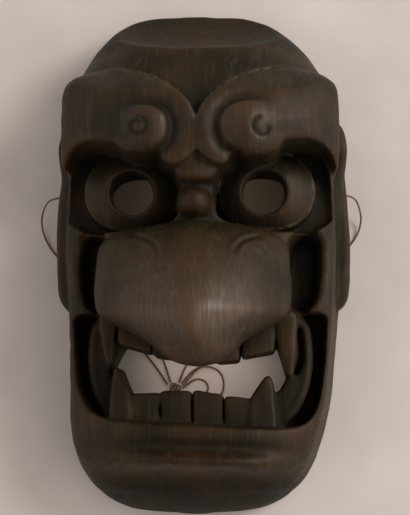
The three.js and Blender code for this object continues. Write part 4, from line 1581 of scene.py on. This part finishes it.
@dataclass(frozen=True)
class PatinatedWood:
    """Close-grained carving wood, hand cut, stained near black by handling and rubbed to a low sheen.

    The dark stain has an olive cast, and the warm brown wood shows through it where the ridges
    are rubbed, with a painted highlight on the chin's ridge and painted shade at the nose's tip.
    The grain runs from crown to chin as fine pale streaks. Dirt and painted shade leave the
    recesses black and matt, the pale edges are rubbed wear and a painted highlight, and what
    hands have touched most has a thin polish.
    """

    stain_dark: str = "#191306"
    stain_mid: str = "#2f240d"
    stain_warm: str = "#3b220c"
    rubbed: str = "#4f2d11"
    handled: str = "#523818"
    pale: str = "#4c4024"
    pale_edge_and_highlight: str = "#6e6044"
    recess: str = "#131107"
    grain_stretch: Place = (1.0, 0.045, 0.6)
    grain_width: float = 1.5 * MM
    grain_range: Span = (0.42, 0.68)
    band_width: float = 4.5 * MM
    band_range: Span = (0.4, 0.66)
    patch: float = 26 * MM
    patch_range: Span = (0.36, 0.66)
    warm_patch: float = 15 * MM
    warm_range: Span = (0.5, 0.66)
    warm_levels: Span = (0.0, 0.8)
    speck: float = 2.2 * MM
    speck_rough: float = 0.65
    pore: float = 0.7 * MM
    noise_rough: float = 0.55
    pale_most: float = 0.5
    rub_levels: Span = (0.2, 0.8)
    held_levels: Span = (0.55, 0.95)
    recess_most: float = 0.9
    line_range: Span = (0.42, 0.62)
    line_levels: Span = (0.05, 0.8)
    gloss_range: Span = (0.3, 0.7)
    gloss_levels: Span = (0.46, 0.64)
    polish_levels: Span = (0.55, 1.0)
    recess_roughness: float = 0.9
    streak_height: float = 0.6
    grain_lift: tuple[float, float] = (0.5, 0.12 * MM)
    pore_lift: tuple[float, float] = (0.35, 0.08 * MM)

    def build(self) -> bpy.types.Material:
        """Build the material.

        Returns:
            The material.
        """
        material, tree, place = new_material("carved_patinated_wood")
        rough = self.noise_rough
        stretched = {"Vector": place, "Scale": self.grain_stretch}
        grain_place = add_node(tree, "ShaderNodeMapping", None, stretched).outputs[0]
        streak = spread(tree, noise(tree, grain_place, self.grain_width, 3, rough), self.grain_range)
        band = spread(tree, noise(tree, grain_place, self.band_width, 2, rough), self.band_range)
        patch = spread(tree, noise(tree, place, self.patch, 4, rough), self.patch_range)
        warm = spread(tree, noise(tree, place, self.warm_patch, 3, rough), self.warm_range, self.warm_levels)
        speck = noise(tree, place, self.speck, 4, self.speck_rough)
        pore = noise(tree, place, self.pore, 2, rough)
        rub_and_painted_light, edge, sunk, handled = (
            add_node(tree, "ShaderNodeAttribute", {"attribute_name": name}).outputs["Fac"]
            for name in ("rub_and_painted_light", "edge", "sunk", "handled")
        )

        colour = mixed(tree, warm, linear(self.stain_mid), linear(self.stain_warm))
        colour = mixed(tree, patch, linear(self.stain_dark), colour)
        for share, over in (
            (product(tree, product(tree, streak, band), self.pale_most), self.pale),
            # The rubbed colour paints wear on the ridges, painted shade at the nose's tip and a painted
            # highlight on the chin's ridge.
            (product(tree, rub_and_painted_light, spread(tree, patch, WHOLE, self.rub_levels)), self.rubbed),
            (product(tree, handled, spread(tree, patch, WHOLE, self.held_levels)), self.handled),
            # The recess colour paints dirt and painted shade into the hollows, and painted shade into the
            # deep recesses, both ends and the curls' cuts.
            (product(tree, sunk, self.recess_most), self.recess),
            # The pale edge colour paints rubbed wear and a painted highlight on sharp edges, the eyeball
            # rims and the brows' upper line.
            (product(tree, edge, spread(tree, speck, self.line_range, self.line_levels)), self.pale_edge_and_highlight),
        ):
            colour = mixed(tree, share, colour, linear(over))

        gloss = spread(tree, speck, self.gloss_range, self.gloss_levels)
        roughness = add_node(tree, "ShaderNodeMix", None, {0: sunk, 2: gloss, 3: self.recess_roughness})
        polish = product(tree, handled, spread(tree, streak, WHOLE, self.polish_levels))
        height = worked(tree, "MULTIPLY_ADD", streak, self.streak_height, band)
        grain = raised(tree, height, *self.grain_lift)
        bump = raised(tree, pore, *self.pore_lift, Normal=grain)
        return finished(material, {
            "Base Color": colour, "Roughness": roughness.outputs[0], "IOR": 1.33, "Normal": bump,
            "Coat Weight": polish, "Coat Roughness": 0.41, "Coat IOR": 1.6, "Coat Normal": bump,
        })


@dataclass(frozen=True)
class TwistedTwine:
    """Thin three-ply plant-fibre twine, spun and left raw: matt, warm brown, with paler fibres."""

    dark: str = "#4d3520"
    light: str = "#8d6c48"
    fibre: float = 0.25 * MM
    fibre_range: Span = (0.35, 0.65)
    fibre_lift: tuple[float, float] = (0.4, 0.05 * MM)

    def build(self) -> bpy.types.Material:
        """Build the material.

        Returns:
            The material.
        """
        material, tree, place = new_material("twisted_plant_fibre_twine")
        fibres = noise(tree, place, self.fibre, 3)
        colour = mixed(tree, spread(tree, fibres, self.fibre_range), linear(self.dark), linear(self.light))
        bump = raised(tree, fibres, *self.fibre_lift)
        return finished(material, {
            "Base Color": colour, "Roughness": 0.85, "Sheen Weight": 0.2, "Normal": bump,
        })


@dataclass(frozen=True)
class PaleSheet:
    """Smooth pale card, pressed: matt, a warm grey with the faintest mottling."""

    light: str = "#e7dfd9"
    dark: str = "#ddd5cf"
    mottle: float = 45 * MM
    mottle_range: Span = (0.35, 0.65)

    def build(self) -> bpy.types.Material:
        """Build the material.

        Returns:
            The material.
        """
        material, tree, place = new_material("pressed_pale_card")
        share = spread(tree, noise(tree, place, self.mottle, 5), self.mottle_range)
        colour = mixed(tree, share, linear(self.dark), linear(self.light))
        return finished(material, {"Base Color": colour, "Roughness": 0.8})


def new_object(name: str, data: bpy.types.ID | None) -> bpy.types.Object:
    """Put an object into the scene.

    Args:
        name: The object's name.
        data: What it shows.

    Returns:
        The object.
    """
    made = bpy.data.objects.new(name, data)
    bpy.context.scene.collection.objects.link(made)
    return made


def made_plain(shaped: bpy.types.Object, name: str) -> bpy.types.Object:
    """Turn an object and its modifiers into a plain mesh object, and remove the first one.

    Args:
        shaped: The object with live modifiers.
        name: The name of the plain one.

    Returns:
        The plain mesh object.
    """
    graph = bpy.context.evaluated_depsgraph_get()
    mesh = bpy.data.meshes.new_from_object(shaped.evaluated_get(graph), depsgraph=graph)
    mesh.name = name
    bpy.data.objects.remove(shaped, do_unlink=True)
    return new_object(name, mesh)


@dataclass(frozen=True)
class WearAndPaintedLight:
    """Marks from 0 to 1 of rubbing, of dirt, and of painted shade and painted highlight.

    How much wood stands round a place, within a near and a wide reach, tells ridges from hollows.
    A mark starts from a level, grows by its gain and stops at the most that it may be. Spans
    named down are counted from the middle towards the chin.
    """

    flat: float = 0.5  # the share of wood round a place on a flat surface
    near_reach: float = 1.5
    wide_reach: float = 6.5
    worn_gain: float = 3.0
    worn_from: float = 0.1
    worn_most: float = 0.38
    tip_rub_and_shade: float = 0.5
    ridge_rub_and_highlight: float = 0.55
    edge_gain: float = 5.0
    edge_from: float = 0.7
    sunk_gain: float = 3.0
    sunk_from: float = 0.02
    sunk_most: float = 0.55
    recess_deep: Span = (4.0, 12.0)  # how far under the plain face the painted shade gathers
    recess_low: float = 36.0
    recess_down: Span = (-96.0, -88.0)
    recess_above: Span = (-40.0, -32.0)
    recess_above_loss: float = 0.5
    recess_most: float = 0.75
    chin_down: Span = (111.0, 122.0)
    chin_shade: float = 0.6
    crown_end: Span = (99.0, 108.0)
    crown_shade: float = 0.4
    end_low: float = 4.0
    curl_low: float = 70.0
    line_low: float = 50.0
    # the nose's tip, which faces away from the light, is painted in shade
    tip_down: Span = (42.0, 57.0)
    tip_low: float = 79.0
    tip_shade: float = 0.7
    held_high: Span = (79.0, 108.0)
    held_gain: float = 7.0
    held_from: float = 0.56

    def dirt_and_shade(self, blank: Blank, wide: Array, place: Array) -> Array:
        """Find dirt and painted shade in the hollows, and painted shade deep in the face and at both ends.

        Args:
            blank: The plain block.
            wide: The share of wood round each place, within the wide reach.
            place: The x, y and z of the places, one row each.

        Returns:
            How dark each place is painted.
        """
        x, y, z = place
        # Painted shade: places deep under the plain face are painted darker, most in the mouth and half as
        # much above it.
        recess = smooth_step(blank.face_height(x, y) - z, *self.recess_deep) * (z > self.recess_low)
        recess = recess * smooth_step(-y, *self.recess_down)
        recess = recess * (1 - self.recess_above_loss * smooth_step(y, *self.recess_above))
        # Painted shade: the chin's low end and the crown's end are painted darker.
        chin = self.chin_shade * smooth_step(-y, *self.chin_down)
        ends = np.maximum(chin, self.crown_shade * smooth_step(y, *self.crown_end))
        # Dirt and painted shade: hollows are painted darker than flat wood.
        sunk = np.clip((wide - self.flat) * self.sunk_gain - self.sunk_from, 0, self.sunk_most)
        return np.maximum(np.maximum(sunk, self.recess_most * recess), ends * (z > self.end_low))

    def marks(self, mask: CarvedMask, block: Block, points: Array) -> dict[str, Array]:
        """Find every mark of wear, dirt, painted shade and painted highlight.

        Args:
            mask: The mask, whose parts are marked each in its own way.
            block: The finished grid.
            points: Points on the surface in grid steps, one row each.

        Returns:
            The strength of each mark at each point, by its name.
        """
        filled = np.clip(0.5 - block.values / block.step, 0, 1)
        near = block.sample(block.blurred(filled, self.near_reach), points)
        wide = block.sample(block.blurred(filled, self.wide_reach), points)
        place = block.place(points).T.astype(np.float32)
        x, y, z = place
        curl, brow_line = mask.brows.marks(x, y)
        # Painted shade at the nose's tip: it loses the handled colour and polish and takes the rubbed
        # red-brown.
        tip = smooth_step(-y, *self.tip_down) * (z > self.tip_low)
        # the chin's ridge takes the rubbed colour, partly rubbed wear and partly a painted highlight
        ridge = mask.chin.ridge_marks(x, y, z)
        rub_and_painted_light = np.clip((self.flat - wide) * self.worn_gain - self.worn_from, 0, self.worn_most)
        # Pale edges: rubbed wear and a painted highlight on sharp ridges, the eyeball rims and the brows'
        # upper line.
        edge = np.clip((self.flat - near) * self.edge_gain - self.edge_from, 0, 1)
        edge = np.maximum(edge, mask.eyes.rim_marks(x, y, z))
        held = np.clip((self.held_from - wide) * self.held_gain, 0, 1) * (1 - self.tip_shade * tip)
        return {
            # The rubbed colour's mark: wear on the ridges, painted shade at the nose's tip and a painted
            # highlight on the chin's ridge.
            "rub_and_painted_light": np.maximum(rub_and_painted_light, np.maximum(self.tip_rub_and_shade * tip, self.ridge_rub_and_highlight * ridge)),
            "edge": np.maximum(edge, brow_line * (z > self.line_low)),
            "sunk": np.maximum(self.dirt_and_shade(mask.blank, wide, place), curl * (z > self.curl_low)),
            "handled": smooth_step(z, *self.held_high) * held,
        }


@dataclass
class CarvedMask:
    """The whole mask, carved from one block."""

    wood: bpy.types.Material
    triangles: int = 190000
    blank: Blank = Blank()
    brows: Brows = field(init=False)
    eyes: Eyes = Eyes()
    mouth: Mouth = Mouth()
    chin: Chin = Chin()
    # the marks of wear and dirt, and of painted shade and painted highlight
    wear: WearAndPaintedLight = WearAndPaintedLight()
    rim_arris: float = 0.3
    last_rub: float = 0.5
    normal_reach: float = 0.9

    def __post_init__(self) -> None:
        """Set the brows on the same plain block."""
        self.brows = Brows(self.blank)

    def carve(self) -> Block:
        """Carve every part of the mask in the order in which one cuts into another.

        Returns:
            The finished grid.
        """
        block = Block(Fineness.FULL)
        for cut in (
            self.blank.carve, self.eyes.cut_sockets, Cheeks().carve, self.mouth.cut_pocket,
            self.mouth.add_gums, self.chin.carve, self.brows.carve, self.eyes.add_eyeballs, Nose().carve,
            Ears().carve, self.mouth.add_teeth, Back(self.blank).carve, self.eyes.pierce, HandWork().carve,
        ):
            cut(block)
        rim = block.whole()
        rim.cut(rim.z, self.rim_arris)
        block.values = block.blurred(block.values, self.last_rub)
        return block

    def build(self) -> bpy.types.Object:
        """Carve the mask, turn it into one closed mesh and dress it.

        Returns:
            The mask's object.
        """
        block = self.carve()
        points, faces = block.surface()
        logger.info("mask: %d faces before thinning", len(faces))
        mesh = bpy.data.meshes.new("carved_mask")
        mesh.vertices.add(len(points))
        mesh.vertices.foreach_set("co", (block.place(points) * MM).astype(np.float32).ravel())
        mesh.loops.add(len(faces) * 4)
        mesh.loops.foreach_set("vertex_index", faces.ravel().astype(np.int32))
        mesh.polygons.add(len(faces))
        mesh.polygons.foreach_set("loop_start", np.arange(0, len(faces) * 4, 4, dtype=np.int32))
        mesh.update(calc_edges=True)
        mesh.validate()
        rough = new_object("carved_mask_rough", mesh)
        thin = rough.modifiers.new("thin", "DECIMATE")
        thin.ratio = min(1.0, self.triangles / (2 * len(faces)))
        mask = made_plain(rough, "carved_mask")
        self.shade(mask.data, block)
        mask.data.materials.clear()
        mask.data.materials.append(self.wood)
        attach(mask, "root")
        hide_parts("mask")
        return mask

    def shade(self, mesh: bpy.types.Mesh, block: Block) -> None:
        """Give the mesh smooth normals from the field, and its marks of wear, dirt, painted shade and
        painted highlight.

        Args:
            mesh: The thinned mesh.
            block: The grid that it was made from.
        """
        places = np.empty(len(mesh.vertices) * 3, np.float32)
        mesh.vertices.foreach_get("co", places)
        points = block.steps(places.reshape(-1, 3) / MM)
        for name, values in self.wear.marks(self, block, points).items():
            mark = mesh.attributes.new(name, "FLOAT", "POINT")
            mark.data.foreach_set("value", values.astype(np.float32))
        normals = block.gradient(points, self.normal_reach)
        normals /= np.maximum(np.linalg.norm(normals, axis=1), TINY)[:, None]
        mesh.polygons.foreach_set("use_smooth", np.ones(len(mesh.polygons), bool))
        mesh.normals_split_custom_set_from_vertices(normals.tolist())
        mesh.update()


@dataclass
class TieCord:
    """The thin twine through both side walls, tied in a bow behind the mouth."""

    twine: bpy.types.Material
    diameter: float = 1.1
    strand: float = 0.36
    strands: int = 3
    pitch: float = 3.6
    step: float = 0.6
    sides: int = 6
    knot_centre: Place = (-15.4, -69.6, 1.95)
    knot_radii: Place = (3.0, 2.4, 1.25)
    knot_reach: tuple[float, float] = (0.68, 0.32)
    knot_rise: float = 0.9
    knot_points: int = 90
    left: Points = (
        (-17.9, -66.6, 1.2), (-21, -57, 0.7), (-27.5, -42, 0.7), (-37, -21, 0.7), (-45, -3, 1.3),
        (-50, 12, 5.4), (-53.5, 24.3, 12.6), (-56.3, 30.6, 17.6), (-60.5, 32, 19), (-71, 32, 19),
        (-78, 32, 19),
        (-83.3, 30.6, 17), (-87.2, 26.8, 10.8), (-89.2, 21, 4.3), (-88.2, 14.5, 1.5), (-84.5, 7, 0.8),
        (-77, -1.5, 0.65), (-66, -13, 0.65), (-51, -30, 0.65), (-36, -46, 0.65), (-26.5, -57.5, 0.7),
        (-19.5, -67.6, 1.3),
    )
    right: Points = (
        (-13.2, -66.5, 1.2), (-9.3, -57.5, 0.7), (4, -42, 0.65), (22, -23, 0.7), (38.5, -4, 1.3),
        (47.5, 12, 5.4),
        (52.7, 24.3, 12.6), (56.3, 30.6, 17.6), (60.5, 32, 19), (71, 32, 19), (78, 32, 19), (82, 30.6, 17),
        (84.8, 26.8, 10.8), (86.2, 21.5, 4.3), (84.8, 15, 1.5), (80.5, 8, 0.8), (73, 0, 0.65),
        (60, -11, 0.65),
        (40, -27, 0.65), (18, -44, 0.65), (1.5, -56, 0.65), (-6.8, -61.4, 0.7), (-11.9, -67.3, 1.2),
    )
    bow_large: Points = (
        (-11.4, -68.6, 2.2), (-8.4, -65.4, 2.2), (-4.6, -61, 2.1), (-1, -58.6, 2.1), (4.5, -58.7, 1.4),
        (9, -61.6, 0.8), (10.8, -66.6, 0.65), (9.8, -72.6, 0.65), (5, -77, 0.65), (-2, -78.4, 0.65),
        (-9, -76.2, 0.9), (-13.4, -72.9, 1.3),
    )
    bow_small: Points = (
        (-11.2, -69.8, 1.2), (-8.2, -67.4, 0.9), (-5.2, -65.4, 0.65), (-1.7, -65, 0.65), (1.2, -66.6, 0.65),
        (2.4, -69.6, 0.65), (1.1, -72.6, 0.65), (-2.3, -74.3, 0.65), (-6.2, -74, 0.75), (-9.4, -73, 1.1),
        (-11.9, -71.8, 1.4),
    )

    def strand_tree(self) -> bpy.types.NodeTree:
        """Build the tree that twists strands along a path and gives them their thickness.

        Returns:
            The tree, with named inputs for its sizes.
        """
        tree = bpy.data.node_groups.new("twisted_strands", "GeometryNodeTree")
        faces = tree.interface
        for name, way, kind in (
            ("Geometry", "INPUT", "Geometry"), ("Strands", "INPUT", "Int"),
            ("Strand radius", "INPUT", "Float"), ("Twist radius", "INPUT", "Float"),
            ("Pitch", "INPUT", "Float"), ("Step", "INPUT", "Float"), ("Finish", "INPUT", "Material"),
            ("Geometry", "OUTPUT", "Geometry"),
        ):
            faces.new_socket(name, in_out=way, socket_type="NodeSocket" + kind)
        given = add_node(tree, "NodeGroupInput").outputs
        fine = add_node(tree, "GeometryNodeResampleCurve", {"mode": "LENGTH"},
                        {"Curve": given["Geometry"], "Length": given["Step"]})
        copies = add_node(tree, "GeometryNodeDuplicateElements", {"domain": "SPLINE"},
                          {0: fine.outputs[0], "Amount": given["Strands"]})
        gone = add_node(tree, "GeometryNodeSplineParameter").outputs["Length"]
        turns = worked(tree, "DIVIDE", gone, given["Pitch"])
        share = worked(tree, "DIVIDE", copies.outputs[1], given["Strands"])
        angle = product(tree, worked(tree, "ADD", turns, share), 2 * math.pi)
        normal = add_node(tree, "GeometryNodeInputNormal").outputs[0]
        tangent = add_node(tree, "GeometryNodeInputTangent").outputs[0]
        turned = add_node(tree, "ShaderNodeVectorRotate", {"rotation_type": "AXIS_ANGLE"},
                          {"Vector": normal, "Axis": tangent, "Angle": angle})
        offset = add_node(tree, "ShaderNodeVectorMath", {"operation": "SCALE"},
                          {0: turned.outputs[0], "Scale": given["Twist radius"]})
        moved = add_node(tree, "GeometryNodeSetPosition", None,
                         {"Geometry": copies.outputs[0], "Offset": offset.outputs[0]})
        ring = add_node(tree, "GeometryNodeCurvePrimitiveCircle", None,
                        {"Resolution": self.sides, "Radius": given["Strand radius"]})
        tube = add_node(tree, "GeometryNodeCurveToMesh", None,
                        {"Curve": moved.outputs[0], "Profile Curve": ring.outputs[0], "Fill Caps": True})
        real = add_node(tree, "GeometryNodeRealizeInstances", None, {0: tube.outputs[0]})
        dressed = add_node(tree, "GeometryNodeSetMaterial", None,
                           {"Geometry": real.outputs[0], "Material": given["Finish"]})
        add_node(tree, "NodeGroupOutput", None, {0: dressed.outputs[0]})
        return tree

    def twisted(
        self, tree: bpy.types.NodeTree, name: str, line: Array, closed: bool = False
    ) -> bpy.types.Object:
        """Lay twisted strands along a line.

        Args:
            tree: The tree that twists them.
            name: The piece's name.
            line: The line's points in metres.
            closed: Whether the line is a ring.

        Returns:
            The plain mesh of the strands.
        """
        curve = bpy.data.curves.new(name + "_line", "CURVE")
        curve.dimensions = "3D"
        spline = curve.splines.new("POLY")
        spline.points.add(len(line) - 1)
        spline.points.foreach_set("co", np.hstack([line, np.ones((len(line), 1))]).ravel())
        spline.use_cyclic_u = closed
        laid = new_object(name + "_line", curve)
        modifier = laid.modifiers.new("twist", "NODES")
        modifier.node_group = tree
        sizes = {
            "Strands": self.strands, "Strand radius": self.strand * MM,
            "Twist radius": (self.diameter / 2 - self.strand) * MM, "Pitch": self.pitch * MM,
            "Step": self.step * MM, "Finish": self.twine,
        }
        for item in tree.interface.items_tree:
            if item.in_out == "INPUT" and item.name in sizes:
                modifier[item.identifier] = sizes[item.name]
        piece = made_plain(laid, name)
        bpy.data.curves.remove(curve)
        piece.data.polygons.foreach_set("use_smooth", np.ones(len(piece.data.polygons), bool))
        return piece

    def build(self) -> list[bpy.types.Object]:
        """Returns:
            The pieces.
        """
        tree = self.strand_tree()
        knot = self.twisted(tree, "twine_knot", self.knot_line() * MM, closed=True)
        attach(knot, "root")
        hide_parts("knot")
        pieces = [knot]
        for node, points in (("cord_left", self.left), ("cord_right", self.right),
                             ("bow_large", self.bow_large), ("bow_small", self.bow_small)):
            line = smooth_line(points, per_span=10) * MM
            piece = self.twisted(tree, "twine_" + node, line)
            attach(piece, "root")
            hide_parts(node)
            pieces.append(piece)
        return pieces

    def knot_line(self) -> Array:
        """Find the path of the knot: an overhand knot drawn up tight.

        Returns:
            Its points in millimetres, one row each.
        """
        turn = np.linspace(0, 2 * math.pi, self.knot_points, endpoint=False)
        reach = self.knot_reach[0] + self.knot_reach[1] * np.cos(3 * turn)
        rise = np.sin(3 * turn) * self.knot_rise
        shape = np.stack([reach * np.cos(2 * turn), reach * np.sin(2 * turn), rise], axis=1)
        return shape * np.array(self.knot_radii) + np.array(self.knot_centre)


@dataclass(frozen=True)
class Lamp:
    """A round soft lamp. Its places and its size are in metres, and its power is in watts."""

    name: str
    place: Place
    aim: Place
    size: float
    power: float
    colour: str

    def add(self) -> None:
        """Hang the lamp and turn it to what it lights."""
        data = bpy.data.lights.new(self.name, "AREA")
        data.shape = "DISK"
        data.size = self.size
        data.energy = self.power
        data.color = linear(self.colour)[:3]
        lamp = new_object(self.name, data)
        lamp.location = self.place
        lamp.rotation_euler = (Vector(self.place) - Vector(self.aim)).to_track_quat("Z", "Y").to_euler()


@dataclass(frozen=True)
class Studio:
    """The photograph's camera, a plain pale floor and soft light from the right.

    The window stands on the right, and two weak lamps inside the hollow stand for the light that
    spills in under the rim. The room is dark overhead and brighter at its sides, most on the right.
    """

    target: Place = (1.34, -3.83, 38.3)
    distance: float = 670.6
    yaw: float = 2.5
    pitch: float = 8.0
    focal_pixels: float = 1289.0
    target_pixel: tuple[float, float] = (203.0, 258.0)
    sensor: float = 24.0
    exposure: float = 0.0
    floor_half: float = 1200.0 * MM
    floor_drop: float = 0.05 * MM
    lamps: tuple[Lamp, ...] = (
        Lamp("window", (1.0, 0.42, 0.92), (0.0, 0.0, 0.04), 0.6, 8.0, "#fff7f2"),
        Lamp("spill_at_mouth", (0.002, -0.06, 0.022), (0.002, -0.064, 0.0), 0.06, 0.0065, "#ffeee2"),
        Lamp("spill_at_eyes", (0.0, 0.034, 0.03), (0.0, 0.034, 0.0), 0.05, 0.005, "#ffd9b0"),
    )
    room_colour: str = "#fff7f2"
    room_across: Span = (0.15, 0.95)
    room_levels: Span = (0.2, 1.15)
    room_sides: Span = (0.8, 1.35)

    def add_camera(self) -> None:
        """Put the camera where the photograph was taken from."""
        yaw, pitch = math.radians(self.yaw), math.radians(self.pitch)
        back = Vector((math.sin(yaw) * math.cos(pitch), -math.sin(pitch), math.cos(yaw) * math.cos(pitch)))
        right = Vector((0, 1, 0)).cross(back).normalized()
        up = back.cross(right)
        turn = Matrix((right, up, back)).transposed().to_4x4()
        data = bpy.data.cameras.new("photograph_view")
        data.sensor_fit = "VERTICAL"
        data.sensor_height = self.sensor
        data.lens = self.sensor * self.focal_pixels / IMAGE_HEIGHT
        data.shift_x = (IMAGE_WIDTH / 2 - self.target_pixel[0]) / IMAGE_HEIGHT
        data.shift_y = (self.target_pixel[1] - IMAGE_HEIGHT / 2) / IMAGE_HEIGHT
        camera = new_object("photograph_view", data)
        camera.matrix_world = Matrix.Translation((Vector(self.target) + back * self.distance) * MM) @ turn
        bpy.context.scene.camera = camera

    def add_floor(self, card: bpy.types.Material) -> None:
        """Lay the pale floor just under the rim.

        Args:
            card: The floor's material.
        """
        half, low = self.floor_half, -self.floor_drop
        mesh = bpy.data.meshes.new("floor")
        corners = [(-half, -half, low), (half, -half, low), (half, half, low), (-half, half, low)]
        mesh.from_pydata(corners, [], [(0, 1, 2, 3)])
        mesh.materials.append(card)
        floor = new_object("floor", mesh)

    def add_lights(self) -> None:
        """Hang the lamps and light the room."""
        for lamp in self.lamps:
            lamp.add()
        world = bpy.data.worlds.new("room")
        world.use_nodes = True
        tree = world.node_tree
        way = add_node(tree, "ShaderNodeTexCoord").outputs["Generated"]
        across = add_node(tree, "ShaderNodeSeparateXYZ", None, {0: way}).outputs["X"]
        level = spread(tree, worked(tree, "ABSOLUTE", across), self.room_across, self.room_levels)
        side = spread(tree, across, (-1.0, 1.0), self.room_sides)
        background = tree.nodes["Background"].inputs
        background["Color"].default_value = linear(self.room_colour)
        tree.links.new(product(tree, level, side), background["Strength"])
        bpy.context.scene.world = world

    def set_view(self) -> None:
        """Show colours plainly, at the photograph's exposure."""
        bpy.context.scene.view_settings.view_transform = "Standard"
        bpy.context.scene.view_settings.exposure = self.exposure


def main() -> None:
    """Build the mask, its cord and the studio."""
    logging.basicConfig(level=logging.INFO, format="%(name)s: %(message)s")
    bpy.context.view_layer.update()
    studio = Studio()
    studio.add_camera()
    for piece in TieCord(TwistedTwine().build()).build():
        logger.info("%s: %d faces", piece.name, len(piece.data.polygons))
    mask = CarvedMask(PatinatedWood().build()).build()
    logger.info("%s: %d faces", mask.name, len(mask.data.polygons))
    studio.add_floor(PaleSheet().build())
    studio.add_lights()
    studio.set_view()


if __name__ == "__main__":
    main()
